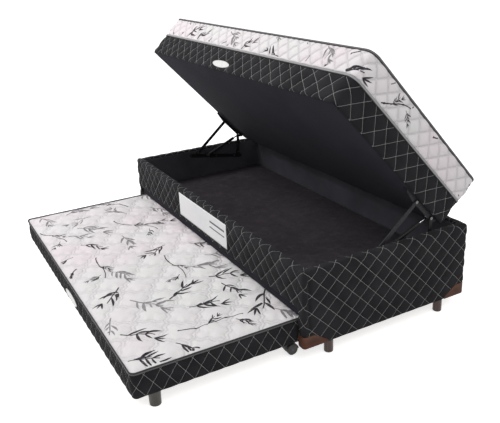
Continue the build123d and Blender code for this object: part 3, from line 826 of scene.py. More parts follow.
trundle_loop = Loop(trundle_half, trundle_front, trundle_rear, trundle_radius, quilt_step)
trundle_pitch = 0.0656
trundle_foot_node = -1.102 + base_middle - trundle_loop.middle_y
trundle_nodes = [(0.0, 0.168, 0.7, 0.7), (-trundle_foot_node, 0.168, 0.7, 0.7),
                 (0.0, 0.168, 0.7, 0.7), (trundle_foot_node, 0.168, 0.7, 0.7)]
trundle_cover = quilted_side("trundle_side_quilt", trundle_loop,
                             skirt_section(trundle_bottom, trundle_cover_top, 0.008),
                             trundle_pitch, trundle_nodes, "trundle", stay, True,
                             badge_pressed(trundle_badge_place, trundle_badge_size))
settle(trundle_cover, "trundle_side_cover", slot="dark_quilt")


# Mattress and trundle pad

simulated_frames = 20

def simulate(piece, held, cap):
    """Blows the free cloth up between its seams, and keeps each point within the cap."""
    before = np.array([v.co for v in piece.data.vertices])
    group = piece.vertex_groups.new(name="held")
    group.add([int(k) for k in np.flatnonzero(held > 0.5)], 1.0, "REPLACE")
    cloth = piece.modifiers.new("cloth", "CLOTH")
    settings = {"vertex_group_mass": group.name, "use_pressure": True, "uniform_pressure_force": 4.0,
                "shrink_min": -0.012, "quality": 5, "mass": 0.2, "tension_stiffness": 15,
                "compression_stiffness": 15, "bending_stiffness": 0.4}
    for key, value in settings.items():
        setattr(cloth.settings, key, value)
    cloth.settings.effector_weights.gravity = 0.0
    cloth.collision_settings.use_collision = False
    cloth.point_cache.frame_end = simulated_frames
    scene = bpy.context.scene
    for number in range(1, simulated_frames + 1):
        scene.frame_set(number)
    seen = piece.evaluated_get(bpy.context.evaluated_depsgraph_get())
    after = np.array([v.co for v in seen.data.vertices])
    piece.modifiers.remove(cloth)
    piece.vertex_groups.remove(group)
    scene.frame_set(1)
    move = after - before
    size = np.linalg.norm(move, axis=1, keepdims=True)
    move *= np.minimum(1.0, cap / np.maximum(size, 1e-9))
    piece.data.vertices.foreach_set("co", (before + move).ravel())
    piece.data.update()


def rounded_grid(half, front, rear, radius, step):
    """A grid of points over a rounded rectangle, how far each is from the edge, and the middle of
    the rectangle and the reach of its corner centres."""
    columns = int(round(2 * half / step))
    rows = int(round((rear - front) / step))
    x, y = np.meshgrid(np.linspace(-half, half, columns + 1), np.linspace(front, rear, rows + 1),
                       indexing="ij")
    # Points beyond the corner centres are drawn in to the rounded corners
    corner = np.array([half - radius, (rear - front) / 2 - radius])
    middle = (front + rear) / 2
    over_x = np.maximum(np.abs(x) - corner[0], 0) / radius
    over_y = np.maximum(np.abs(y - middle) - corner[1], 0) / radius
    both = (over_x > 0) & (over_y > 0)
    pull = np.where(both, np.maximum(over_x, over_y) / np.maximum(np.hypot(over_x, over_y), 1e-9), 1)
    x = np.where(both, np.sign(x) * (corner[0] + over_x * pull * radius), x)
    y = np.where(both, middle + np.sign(y - middle) * (corner[1] + over_y * pull * radius), y)
    edge = np.minimum(half - np.abs(x), (rear - front) / 2 - np.abs(y - middle))
    near = np.where(both, radius - radius * np.hypot(over_x * pull, over_y * pull), edge)
    return x, y, near, middle, corner


def pad_mesh(name, half, front, rear, radius, step, sections, top_height, top_marks,
             side_pitch, side_nodes, body, move, puffs, materials):
    """A closed pad: a quilted top, sides that follow sections of (outset, height, quilting), and
    a flat bottom. Returns the piece and how firmly each point is held."""
    x, y, near, middle, corner = rounded_grid(half, front, rear, radius, step)
    columns, rows = x.shape[0] - 1, x.shape[1] - 1
    a, b = top_marks(x, y)
    seam = np.clip(near / 0.05, 0, 1) ** 0.5
    low, rise, crown = puffs
    swell = seam_shape(a, b)
    z = top_height - crown * (1 - np.clip(near / 0.06, 0, 1)) ** 2 + (low + rise * swell) * seam
    top = np.stack([x, y, z], -1)
    total = (columns + 1) * (rows + 1)
    index = np.arange(total).reshape(columns + 1, rows + 1)
    rim = np.concatenate([index[:, 0], index[-1, 1:], index[-2::-1, -1], index[0, -2:0:-1]])
    flat_top = top.reshape(-1, 3)
    rim_places = flat_top[rim]
    centre = np.clip(rim_places[:, :2], [-corner[0], middle - corner[1]], [corner[0], middle + corner[1]])
    out = rim_places[:, :2] - centre
    out /= np.maximum(np.linalg.norm(out, axis=1, keepdims=True), 1e-9)
    step_length = np.linalg.norm(np.diff(np.vstack([rim_places, rim_places[:1]]), axis=0)[:, :2], axis=1)
    along = np.concatenate([[0.0], np.cumsum(step_length)])
    side_points = []
    side_a, side_b = side_phase_at(rim_places[:, :2], half, front, rear, side_pitch, side_nodes)
    marks_side = []
    for outset, height, quilted in sections:
        mark_a = side_a[0] + side_a[1] * height / side_pitch
        mark_b = side_b[0] - side_b[1] * height / side_pitch
        marks_side.append(np.stack([mark_a, mark_b], -1))
        puff = (low + rise * pillow(mark_a, mark_b, 0.6)) * quilted
        places = rim_places[:, :2] + out * (outset + puff)[:, None]
        side_points.append(np.column_stack([places, np.full(len(rim), height)]))
    points = np.vstack([flat_top] + side_points)
    faces, corners = skin(columns + 1, rows + 1, False, False)
    marks = [np.stack([a[corners[:, 0], corners[:, 1]], b[corners[:, 0], corners[:, 1]]], -1)]
    kinds = [0] * len(faces)
    count = len(rim)
    previous = list(rim)
    previous_marks = marks_side[0]
    for level in range(len(sections)):
        current = [total + level * count + k for k in range(count)]
        for k in range(count):
            after = (k + 1) % count
            faces.append([previous[k], current[k], current[after], previous[after]])
            kinds.append(1)
            here = marks_side[level]
            next_a = here[after] if after else wrap_mark(here, k)
            next_b = previous_marks[after] if after else wrap_mark(previous_marks, k)
            marks.append(np.array([previous_marks[k], here[k], next_a, next_b]))
        previous = current
        previous_marks = marks_side[level]
    # The bottom is a coarse fan of strips between the two long sides
    faces.extend(bottom_faces(previous, columns, rows))
    bottom_count = sum(len(f) for f in faces[len(kinds):])
    kinds.extend([1] * (len(faces) - len(kinds)))
    marks.append(np.full((bottom_count, 2), 0.5))
    piece = mesh_object(name, move(points), faces, body, materials, np.vstack(marks))
    piece.data.polygons.foreach_set("material_index", kinds)
    held = np.ones(len(points))
    free = (seam_line(a, b) > 0) & (near > 0.012)
    held[:total][free.ravel()] = 0.0
    for level, (_, _, quilted) in enumerate(sections):
        start = total + level * count
        loose = pillow(marks_side[level][:, 0], marks_side[level][:, 1], 1.0) > 0.30
        held[start:start + count][loose & (quilted > 0.7)] = 0.0
    return piece, held


def wrap_mark(marks, k):
    """The mark after the last one round a closed rim."""
    return marks[k] + (marks[k] - marks[k - 1])


def bottom_faces(rim, columns, rows):
    """Faces across the bottom, between the front and the rear edge of a rim of points."""
    front = rim[:columns + 1]
    rear = rim[columns + rows:2 * columns + rows + 1][::-1]
    foot = rim[columns:columns + rows + 1]
    head = [rim[0]] + rim[2 * columns + rows:][::-1]
    faces = [[a, d, c, b] for a, b, c, d in
             zip(front[1:-2], front[2:-1], rear[2:-1], rear[1:-2])]
    faces.append([front[0], *head[1:], rear[1], front[1]])
    faces.append([front[-2], rear[-2], *foot[::-1]])
    return faces


def side_phase_at(places, half, front, rear, pitch, nodes):
    """The stitch marks of places on the outline of a pad, as offsets and slopes."""
    loop = Loop(half, front, rear, 0.02, 0.01)
    middle = (front + rear) / 2
    along = []
    for x, y in places:
        y = y - middle
        reach = (rear - front) / 2
        gaps = [abs(reach - y), abs(half + x), abs(reach + y), abs(half - x)]
        side = int(np.argmin(gaps))
        offset = (-x, -y, x, y)[side]
        length = loop.side_middles[side] + offset
        if side == 0 and offset < 0:
            length += loop.total
        along.append(length)
    point = loop.changed(along=np.array(along))
    first, second, slope_a, slope_b = side_phases(point, pitch, nodes)
    return (point.along / pitch + first, slope_a), (point.along / pitch + second, slope_b)


# The quilting of the white tops: two families of wavy lines, each line sewn twice
ogee_slant = radians(36)
ogee_cross_slant = radians(33)
ogee_pitch = 0.130
ogee_anchor = (0.593, -0.715 + base_middle)
ogee_wave = 0.045
ogee_waves = 2.5
ogee_drift = 0.05
ogee_drifts = 0.5
ogee_twin = 0.055


def ogee_marks(x, y, anchor):
    """The two marks of the ogee quilting. Whole numbers lie between the twin seams."""
    dx, dy = x - anchor[0], y - anchor[1]
    a = (dx * sin(ogee_slant) + dy * cos(ogee_slant)) / ogee_pitch
    b = (dx * cos(ogee_cross_slant) - dy * sin(ogee_cross_slant)) / ogee_pitch
    sway_a, sway_b = (ogee_wave * np.sin(tau * other * ogee_waves)
                      + ogee_drift * np.sin(tau * other * ogee_drifts) for other in (b, a))
    return a + sway_a, b + sway_b


def seam_gap(mark):
    """How far a mark is from the nearer of the two seams of its line, in cells."""
    off = np.abs(mark - np.round(mark))
    return np.abs(off - ogee_twin)


def seam_shape(a, b):
    """Height of the quilting: 0 on the seams, low between twins and 1 in the cells."""
    gap_a, gap_b = seam_gap(a), seam_gap(b)
    near = np.minimum(gap_a, gap_b)
    cell = (np.clip((gap_a - 0.025) / 0.30, 0, 1) * np.clip((gap_b - 0.025) / 0.30, 0, 1)) ** 0.45
    inside = (np.abs(a - np.round(a)) < ogee_twin) | (np.abs(b - np.round(b)) < ogee_twin)
    ridge = np.clip((near - 0.015) / 0.03, 0, 1) * 0.40
    return np.where(inside, ridge, cell)


def seam_line(a, b):
    """Above 0 where the cloth is free between the seams."""
    return np.minimum(seam_gap(a), seam_gap(b)) - 0.045


def wavy_top_marks(anchor):
    return lambda x, y: ogee_marks(x, y, anchor)


def finish_pad(piece, held, cap, *nodes):
    simulate(piece, held, cap)
    smooth = piece.modifiers.new("smooth", "SUBSURF")
    smooth.levels = 1
    smooth.render_levels = 1
    settle(piece, *nodes, slot="mattress_cloth")


pad_step = 0.008
lid_mattress_nodes = [(0.0, 0.218, 1.0, 1.0), (0.03, 0.218, 1.0, 1.0),
                      (0.03, 0.214, 1.1, 0.9), (-0.831 - lid_middle, 0.223, 1.0, 1.0)]
mattress_side_top = 0.2425
mattress_side_bottom = 0.1245
mattress_heights = [mattress_side_top, 0.236, 0.228, 0.218, 0.208, 0.198, 0.187, 0.176, 0.165,
                    0.155, 0.145, 0.136, 0.130, mattress_side_bottom]
mattress_sections = []
for height in mattress_heights:
    share = (height - mattress_side_bottom) / (mattress_side_top - mattress_side_bottom)
    bulge = 0.0035 * sin(pi * share) + 0.001
    mattress_sections.append((bulge, height, min(1.0, 3.2 * sin(pi * share))))
mattress, mattress_held = pad_mesh(
    "mattress", lid_half - 0.0015, lid_front + 0.0015, lid_rear - 0.0015, lid_radius, pad_step,
    mattress_sections, lid_height + 0.001, wavy_top_marks((0.1, lid_middle)), lid_pitch,
    lid_mattress_nodes, "lid", lid_place, (-0.0030, 0.0085, 0.004), [ogee_material, ticking_material])
finish_pad(mattress, mattress_held, 0.003, "lid_mattress")

pad_sections = [(0.0, trundle_cover_top + 0.004, 0.0), (0.0, trundle_cover_top - 0.004, 0.0),
                (-cover_depth - 0.001, trundle_cover_top - 0.005, 0.0),
                (-cover_depth - 0.001, 0.1525, 0.0)]
pad, pad_held = pad_mesh(
    "trundle_pad_top", trundle_half - 0.003, trundle_front + 0.003, trundle_rear - 0.003,
    trundle_radius, pad_step, pad_sections, trundle_top, wavy_top_marks(ogee_anchor), trundle_pitch,
    trundle_nodes, "trundle", stay, (-0.0022, 0.0058, 0.009), [ogee_material, ticking_material])
finish_pad(pad, pad_held, 0.0025, "trundle_pad")


# Edge tapes

def tape(name, loop, bottom, height, outset, thickness, body, move, material):
    """A ribbed tape sewn round an edge, domed in section."""
    around = []
    for k in range(9):
        t = k / 8
        dome = (1 - (2 * t - 1) ** 4) * thickness
        around.append((-outset + thickness - dome, bottom + height * t, t))
    back = -outset + thickness + 0.0012
    around += [(back, bottom + height * 0.96, 0.5), (back, bottom + height * 0.04, 0.5)]
    depth, rise, across = np.array(around).T
    ripple = sag(loop.along[:, None], 0.0, 0.0, 22.0, 7.7) * 0.0004
    places = loop.inset(np.broadcast_to(depth[None, :], (loop.count, len(around))) + ripple)
    heights = np.broadcast_to(rise[None, :], (loop.count, len(around))) + ripple
    points = np.concatenate([places, heights[..., None]], axis=-1)
    faces, corners = skin(loop.count, len(around), True, True)
    alongs = np.append(loop.along, loop.total)
    acrosses = np.append(across, across[0])
    marks = np.stack([alongs[corners[:, 0]], acrosses[corners[:, 1]]], -1)
    return mesh_object(name, move(points), faces, body, material, marks)


tape_thickness = 0.004
upper_tape = tape("lid_tape_upper", lid_loop, lid_height - lid_tape_height, lid_tape_height,
                  tape_thickness, tape_thickness, "lid", lid_place, upper_tape_material)
lower_tape = tape("lid_tape_lower", lid_loop, lid_cover_height, lid_tape_height,
                  tape_thickness, tape_thickness, "lid", lid_place, lower_tape_material)
settle(upper_tape, "lid_tapes", slot="tape_grey")
settle(lower_tape, slot="tape_grey")
trundle_tape = tape("trundle_edge_tape", trundle_loop, trundle_cover_top, trundle_tape_height,
                    tape_thickness, tape_thickness, "trundle", stay, trundle_tape_material)
settle(trundle_tape, "trundle_tape", slot="tape_grey")


# Cloths of the well and the lid's underside

def cloth_sheet(name, x_range, y_range, height_of, step, thickness, body, move, material):
    """A sheet of cloth over a rectangle, given a little thickness."""
    columns = int(round((x_range[1] - x_range[0]) / step))
    rows = int(round((y_range[1] - y_range[0]) / step))
    x, y = np.meshgrid(np.linspace(*x_range, columns + 1), np.linspace(*y_range, rows + 1), indexing="ij")
    points = np.stack([x, y, height_of(x, y)], -1)
    faces, corners = skin(columns + 1, rows + 1, False, False)
    marks = np.stack([x[corners[:, 0], corners[:, 1]], y[corners[:, 0], corners[:, 1]]], -1)
    piece = mesh_object(name, move(points), faces, body, material, marks)
    thick = piece.modifiers.new("thickness", "SOLIDIFY")
    thick.thickness = thickness
    thick.offset = 0.0
    return piece


def crease(x, y, scale, seed, sharpness):
    """Narrow ridges, like folds in cloth that was pushed about."""
    return (1 - np.abs(sag(x, y, 0.0, scale, seed))) ** sharpness


well_cloth_height = 0.2160


def well_height(x, y):
    edge = np.minimum(well_half_length - np.abs(x), well_half_width - np.abs(y - base_middle))
    folds = crease(x * 0.7, y, 7.0, 1.7, 14) * 0.0020 + crease(x, y * 0.7, 19.0, 9.2, 10) * 0.0014
    soft = (sag(x, y, 0.0, 3.0, 4.4) + 1) * 0.0012 + sag(x, y, 0.0, 55.0, 2.4) * 0.0004
    curl = np.exp(-edge / 0.012) * 0.004
    return well_cloth_height + (folds + soft) * np.clip(edge / 0.05, 0.25, 1) + curl


well_cloth = cloth_sheet("well_floor_suede", (-well_half_length, well_half_length),
                         (base_middle - well_half_width, base_middle + well_half_width),
                         well_height, 0.008, 0.0012, "base", stay, suede_material)
settle(well_cloth, "well_floor_cloth", slot="well_cloth")


underside_half_length = 0.907
underside_half_width = 0.427


def underside_height(x, y):
    edge = np.minimum(underside_half_length - np.abs(x), underside_half_width - np.abs(y - lid_middle))
    drawn = sag(x * 0.35, y * 2.2, 0.0, 9.0, 2.6) * 0.0007 * np.clip(1 - edge / 0.25, 0, 1)
    return 0.0008 + drawn + sag(x, y, 0.0, 2.5, 5.0) * 0.0004


underside = cloth_sheet("lid_underside_sheet", (-underside_half_length, underside_half_length),
                        (lid_middle - underside_half_width, lid_middle + underside_half_width),
                        underside_height, 0.012, 0.0010, "lid", lid_place, underside_material)
settle(underside, "lid_underside_cloth", slot="underside_cloth")


def well_walls():
    """The dark cloth on the inner faces of the boards, with a soft drape."""
    loop = Loop(well_half_length + 0.004, base_middle - well_half_width - 0.004,
                base_middle + well_half_width + 0.004, 0.010, 0.010)
    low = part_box("well_lining")[0][2] + 0.0005
    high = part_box("well_lining")[1][2] - 0.0005
    levels = np.linspace(low, high, 18)
    drape = sag(loop.along[:, None], levels[None, :] * 0.5, 0.0, 9.0, 6.1)
    hang = np.sin(pi * (levels - low) / (high - low))[None, :]
    inner = 0.0040 + 0.0012 * drape * hang
    outer = np.full_like(inner, 0.0003)
    depth = np.hstack([inner, outer[:, ::-1]])
    heights = np.broadcast_to(np.concatenate([levels, levels[::-1]])[None, :], depth.shape)
    places = loop.inset(depth)
    points = np.concatenate([places, heights[..., None]], axis=-1)
    faces, _ = skin(loop.count, depth.shape[1], True, True, turned=True)
    return mesh_object("well_wall_lining", points, faces, "base", lining_material)


settle(well_walls(), "well_lining", slot="dark_lining")


# Corner guards, patch and badges

guard_outside = 0.0019
guard_inside = 0.0002


def corner_guard(name, corner, to_end):
    """A leather guard wrapped round a lower corner of the base."""
    rows = 10
    levels = base_bottom + 0.0005 + (guard_top - base_bottom - 0.0005) * np.linspace(0, 1, rows)
    shares = np.linspace(0, 1, 33)
    outer, inner = [], []
    for level in levels:
        reach = guard_run(np.array([level]))[0]
        round_off = 0.006 * (1 - np.clip((level - base_bottom) / 0.008, 0, 1)) ** 2
        alongs = corner + to_end * (-rim_depth + round_off + (reach + rim_depth - 2 * round_off) * shares)
        outer.append(outline_at(alongs, -guard_outside))
        inner.append(outline_at(alongs, guard_inside))
    outer, inner = np.array(outer), np.array(inner)
    grid = []
    for row in range(rows):
        level = np.full(len(shares), levels[row])
        grid.append(np.vstack([np.column_stack([outer[row], level]),
                               np.column_stack([inner[row], level])[::-1]]))
    grid = np.array(grid)
    columns = grid.shape[1]
    faces, corners = skin(rows, columns, False, True)
    faces.append(list(range(columns)))
    faces.append([(rows - 1) * columns + j for j in reversed(range(columns))])
    piece = mesh_object(name, grid, faces, "base", leather_material)
    bevel = piece.modifiers.new("edge", "BEVEL")
    bevel.width = 0.0006
    bevel.segments = 2
    bevel.limit_method = "ANGLE"
    bevel.angle_limit = radians(50)
    return piece


def outline_at(alongs, depth):
    """Places on the base outline at these distances round it, this deep inside it."""
    alongs = np.asarray(alongs) % base_loop.total
    order = np.append(base_loop.along, base_loop.total)
    places = base_loop.inset(np.full((base_loop.count, 1), depth))[:, 0, :]
    places = np.vstack([places, places[:1]])
    return np.column_stack([np.interp(alongs, order, places[:, k]) for k in (0, 1)])


guards = []
for number, corner in enumerate(corner_alongs):
    towards_end = 1 if number in (0, 2) else -1
    guards.append(corner_guard(f"corner_guard_{number + 1}", corner, towards_end))
settle(guards[0], "corner_guards", slot="guard_leather")
for guard in guards[1:]:
    settle(guard, slot="guard_leather")


def patch_height(x, z):
    return sag(x, z, 0.0, 14.0, 8.8) * 0.0005


def facing_front(y):
    """A move that stands a flat sheet up against the front, at this y."""
    def move(points):
        x, z, out = np.moveaxis(np.asarray(points, dtype=float), -1, 0)
        return np.stack([x, y - out, z], axis=-1)
    return move


patch_front = base_low[1] - 0.0012
patch = cloth_sheet("front_cloth_patch", (patch_low[0], patch_high[0]), (patch_low[2], patch_high[2]),
                    patch_height, 0.008, 0.0008, "base", facing_front(patch_front), patch_material)
settle(patch, "front_patch", slot="patch_cloth")


# The left and right end, height and half thickness of each bar
bar_spans = ((0.098, 0.258, 0.341, 0.0045), (0.094, 0.256, 0.311, 0.0030))


def patch_bars():
    """Two plain ruled bars on the patch."""
    points, faces = [], []
    for left, right, middle, half in bar_spans:
        start = len(points)
        for x in np.linspace(left, right, 21):
            for z in (middle - half, middle, middle + half):
                off = patch_height(np.array(x), np.array(z))
                points.append((x, patch_front - float(off) - 0.0009, z))
        for k in range(20):
            for j in range(2):
                first = start + 3 * k + j
                faces.append([first, first + 3, first + 4, first + 1])
    return mesh_object("patch_bars", points, faces, "base", bar_material)


settle(patch_bars(), slot="patch_cloth")


def oval_badge(name, centre, length, height, thickness, body, move):
    """A bare oval plate with a raised rim, on its back on XZ and facing -Y."""
    rings = [(0.35, 0.45), (0.70, 0.40), (0.84, 0.36), (0.88, 0.62), (0.92, 0.95), (0.965, 1.0),
             (1.0, 0.55), (1.0, 0.0)]
    count = 72
    points, faces = [], []
    for share, rise in rings:
        for k in range(count):
            angle = tau * k / count
            trim = length / 2 - height / 2 * (1 - share)
            wide = trim * cos(angle) if share > 0.5 else length / 2 * share * cos(angle)
            points.append((centre[0] + wide, centre[1] - thickness * rise,
                           centre[2] + height / 2 * share * sin(angle)))
    for ring in range(len(rings) - 1):
        for k in range(count):
            a, b = ring * count + k, ring * count + (k + 1) % count
            faces.append([a, a + count, b + count, b])
    faces.append(list(range(count)))
    last = (len(rings) - 1) * count
    faces.append([last + k for k in reversed(range(count))])
    return mesh_object(name, move(np.array(points)), faces, body, badge_material)


badge_gap = 0.0004
badge_thickness = 0.0030
lid_badge_centre = (lid_badge_place[0], lid_front - badge_gap, lid_badge_place[1])
lid_badge = oval_badge("lid_oval_badge", lid_badge_centre, *lid_badge_size, badge_thickness,
                       "lid", lid_place)
settle(lid_badge, "lid_badge", slot="badge_plate")
trundle_badge_centre = (trundle_badge_place[0], trundle_front - badge_gap, trundle_badge_place[1])
trundle_badge = oval_badge("trundle_oval_badge", trundle_badge_centre, *trundle_badge_size,
                           badge_thickness, "trundle", stay)
settle(trundle_badge, "trundle_badge", slot="badge_plate")


# Leaf prints

def leaf(base, angle, length, width, bend):
    """A leaf as rows of three points, from its base to its tip."""
    stations = []
    x, z = base
    count = 6
    for k in range(count + 1):
        t = k / count
        turn = angle + bend * t
        half = width * sin(pi * min(t * 0.96 + 0.04, 1.0)) ** 0.8 * (1 - 0.45 * t) / 2
        if k:
            x += length / count * cos(turn)
            z += length / count * sin(turn)
        side = (-sin(turn) * half, cos(turn) * half)
        stations.append([(x - side[0], z - side[1]), (x, z), (x + side[0], z + side[1])])
    return stations


def stem(base, angle, length, width, bend, joints):
    """A thin stem as rows of three points, thicker at its joints."""
    stations = []
    x, z = base
    count = max(int(length / 0.008), 4)
    for k in range(count + 1):
        t = k / count
        turn = angle + bend * sin(pi * t)
        swell = 1 + 0.9 * max(0.0, cos(tau * joints * t)) ** 12
        half = width / 2 * swell * (1 - 0.35 * t)
        if k:
            x += length / count * cos(turn)
            z += length / count * sin(turn)
        side = (-sin(turn) * half, cos(turn) * half)
        stations.append([(x - side[0], z - side[1]), (x, z), (x + side[0], z + side[1])])
    return stations


def sprig(place, angle, size, fullness):
    """A twig of leaves in pairs along a short stem."""
    strips = [stem(place, angle, size, size * 0.022, 0.25, 0)]
    pairs = 3 + int(fullness * 2)
    for k in range(pairs):
        t = 0.22 + 0.72 * k / pairs
        turn = angle + 0.25 * sin(pi * t)
        base = (place[0] + size * t * cos(turn), place[1] + size * t * sin(turn))
        for side in (1, -1):
            if chance.random() < 0.2:
                continue
            open_angle = side * (0.45 + 0.75 * chance.random())
            length = size * (0.32 + 0.34 * chance.random()) * (1.1 - 0.3 * t)
            strips.append(leaf(base, angle + open_angle, length, length * 0.21, -side * 0.5))
    tip = (place[0] + size * cos(angle), place[1] + size * sin(angle))
    for fan in (-0.5, 0.0, 0.45):
        strips.append(leaf(tip, angle + fan, size * (0.34 + 0.1 * chance.random()), size * 0.075, 0.2))
    return strips


def project(strips, place_on):
    """Lays strips of points on a surface, and leaves out those that miss it."""
    points, faces = [], []
    for strip in strips:
        landed = [[place_on(*point) for point in station] for station in strip]
        start = len(points)
        good = [all(point is not None for point in station) for station in landed]
        kept_rows = []
        for station, whole in zip(landed, good):
            kept_rows.append(len(points) if whole else None)
            if whole:
                points.extend(station)
        for first, second in zip(kept_rows, kept_rows[1:]):
            if first is None or second is None:
                continue
            for j in range(2):
                faces.append([first + j, second + j, second + j + 1, first + j + 1])
    return points, faces


def surface_tree(piece):
    seen = piece.evaluated_get(bpy.context.evaluated_depsgraph_get())
    mesh = seen.to_mesh()
    vertices = [piece.matrix_world @ v.co for v in mesh.vertices]
    polygons = [list(p.vertices) for p in mesh.polygons]
    tree = BVHTree.FromPolygons(vertices, polygons)
    seen.to_mesh_clear()
    return tree


def lander(tree, start_of, direction, reach=0.06, lift=0.0005):
    """A function that drops a flat point onto a surface along a direction."""
    def land(u, v):
        start = start_of(u, v)
        if start is None:
            return None
        way = direction(u, v) if callable(direction) else direction
        hit, normal, _, _ = tree.ray_cast(Vector(start), Vector(way), reach)
        if hit is None:
            return None
        return tuple(hit - Vector(way).normalized() * lift)
    return land


def print_piece(name, groups, land, body):
    """One mesh of dark and faded leaves laid on a surface."""
    points, faces, kinds = [], [], []
    for strips, kind in groups:
        new_points, new_faces = project(strips, land)
        faces.extend([[k + len(points) for k in face] for face in new_faces])
        kinds.extend([kind] * len(new_faces))
        points.extend(new_points)
    piece = mesh_object(name, points, faces, body, [dark_ink, faded_ink])
    piece.data.polygons.foreach_set("material_index", kinds)
    return settle(piece, slot="mattress_cloth")


def scattered_sprigs(u_range, v_range, pitch, size, stems):
    """Sprigs on a loose half-dropped lattice, with a few long stems between them."""
    groups, taken = [], []
    columns = int((u_range[1] - u_range[0]) / pitch) + 2
    rows = int((v_range[1] - v_range[0]) / pitch) + 2
    for i in range(columns):
        for j in range(rows):
            long = (i + 2 * j) % 5 == stems
            length = size * chance.uniform(1.6, 2.2) if long else size * chance.uniform(0.8, 1.15)
            for _ in range(12):
                u = u_range[0] + (i + 0.5 * (j % 2) + chance.uniform(-0.35, 0.35)) * pitch
                v = v_range[0] + (j + chance.uniform(-0.35, 0.35)) * pitch
                angle = chance.uniform(0, tau)
                if clear_of(taken, u, v, angle, length * 1.2, size * 0.56):
                    groups.extend(motif(u, v, angle, length, size, long))
                    break
    return groups


def clear_of(taken, u, v, angle, length, gap):
    """Whether a print of this length keeps its distance; if so, its place is taken."""
    spots = [(u + length * t * cos(angle), v + length * t * sin(angle)) for t in (0.1, 0.4, 0.7, 1.0)]
    for a, b in spots:
        for c, d in taken:
            if (a - c) ** 2 + (b - d) ** 2 < gap ** 2:
                return False
    taken.extend(spots)
    return True


def motif(u, v, angle, length, size, long):
    """A long stem that carries two sprigs, or a single sprig, in dark or faded ink."""
    if not long:
        return [(sprig((u, v), angle, length, chance.random()), int(chance.random() < 0.45))]
    parts = [([stem((u, v), angle, length, 0.0052, 0.5, 4)], 0)]
    for share, turn in ((0.42, 0.9), (0.85, -0.7)):
        spot = (u + share * length * cos(angle + 0.25), v + share * length * sin(angle + 0.25))
        parts.append((sprig(spot, angle + turn, size * 0.48, 0.6), 0))
    return parts


print_pitch = 0.160
print_size = 0.150
down = (0, 0, -1)
pad_tree = surface_tree(pad)


def above_pad(x, y):
    inside = abs(x) < trundle_half - 0.012 and trundle_front + 0.012 < y < trundle_rear - 0.012
    return (x, y, trundle_top + 0.03) if inside else None


print_piece("trundle_top_print",
            scattered_sprigs((-0.85, 0.85), (trundle_front + 0.05, trundle_rear - 0.02), print_pitch,
                             print_size, 1),
            lander(pad_tree, above_pad, down), "trundle")

mattress_tree = surface_tree(mattress)
lid_down = (0, -sin(lid_angle), -cos(lid_angle))


def above_mattress(x, y):
    inside = abs(x) < lid_half - 0.02 and lid_front + 0.02 < y < lid_rear - 0.02
    return lid_place((x, y, lid_height + 0.03)) if inside else None


print_piece("mattress_top_print",
            scattered_sprigs((-0.86, 0.86), (lid_front + 0.05, lid_rear - 0.03), print_pitch, print_size, 3),
            lander(mattress_tree, above_mattress, lid_down), "lid")


def beside_mattress(u, v):
    """A point outside the mattress, u round its edge and v above the lid's underside."""
    if not 0.134 < v < 0.236:
        return None
    place = side_spot(u)
    return lid_place((*(place[0] + place[1] * 0.03), v))


def side_spot(u):
    """Place and outward way on the lid's outline, at a distance round it."""
    along = u % lid_loop.total
    k = int(np.searchsorted(lid_loop.along, along)) - 1
    after = (k + 1) % lid_loop.count
    gap = (lid_loop.along[after] - lid_loop.along[k]) % lid_loop.total or 1.0
    t = (along - lid_loop.along[k]) / gap
    place = lid_loop.place[k] * (1 - t) + lid_loop.place[after] * t
    normal = lid_loop.normal[k] * (1 - t) + lid_loop.normal[after] * t
    return place, normal / np.linalg.norm(normal)


def into_mattress(u, v):
    normal = side_spot(u)[1]
    inward = lid_place((-normal[0], -normal[1], 0.0)) - lid_place((0.0, 0.0, 0.0))
    return tuple(inward)


print_piece("mattress_side_print",
            scattered_sprigs((0.0, lid_loop.total - 0.1), (0.135, 0.240), 0.115, 0.115, 2),
            lander(mattress_tree, beside_mattress, into_mattress, 0.05), "lid")


# Materials of the CAD pieces that stay

node_finishes = {
    timber_material: ["end_board_head", "end_board_foot", "rear_board", "well_floor", "floor_ledgers",
                      "lid_front_rail", "lid_rear_rail", "lid_end_rails", "lid_slats",
                      "trundle_long_rails", "trundle_end_rails", "trundle_slats", "trundle_leg_blocks"],
    # The front rail shows only as a strip in the recess under the front band. It takes the near-black
    # underside cloth: partly the dark cloth that wraps it, partly painted shade of the recess.
    underside_material: ["front_rail"],
    felt_material: ["lid_felt"],
    foot_material: ["base_feet"],
    trundle_foot_material: ["trundle_feet"],
    black_steel: ["lift_base_plate_head", "lift_base_plate_foot", "rear_link_head", "rear_link_foot",
                  "strut_cylinder_head", "strut_cylinder_foot"],
    grey_steel: ["front_link_head", "front_link_foot", "lid_bracket_head", "lid_bracket_foot",
                 "castor_plates"],
    bare_steel: ["lift_base_screws", "strut_pins", "rear_link_pins", "front_link_pins",
                 "lid_bracket_screws", "castor_axle_head", "castor_axle_foot"],
    chrome: ["strut_rod_head", "strut_rod_foot"],
    castor_material: ["castor_hood_head", "castor_hood_foot"],
    wheel_material: ["castor_wheel_outer_head", "castor_wheel_inner_head", "castor_wheel_outer_foot",
                     "castor_wheel_inner_foot"],
}
for finish, names in node_finishes.items():
    for name in names:
        for place in frame["nodes"][name].material_slots:
            place.material = finish


# Floor, light and camera

floor_half = 60
floor_gap = 0.0005
floor_glow = 0.72
studio_light = 0.54
light_target = (0, 0, 0.3)
side_light_target = (0, 0.2, 0.4)


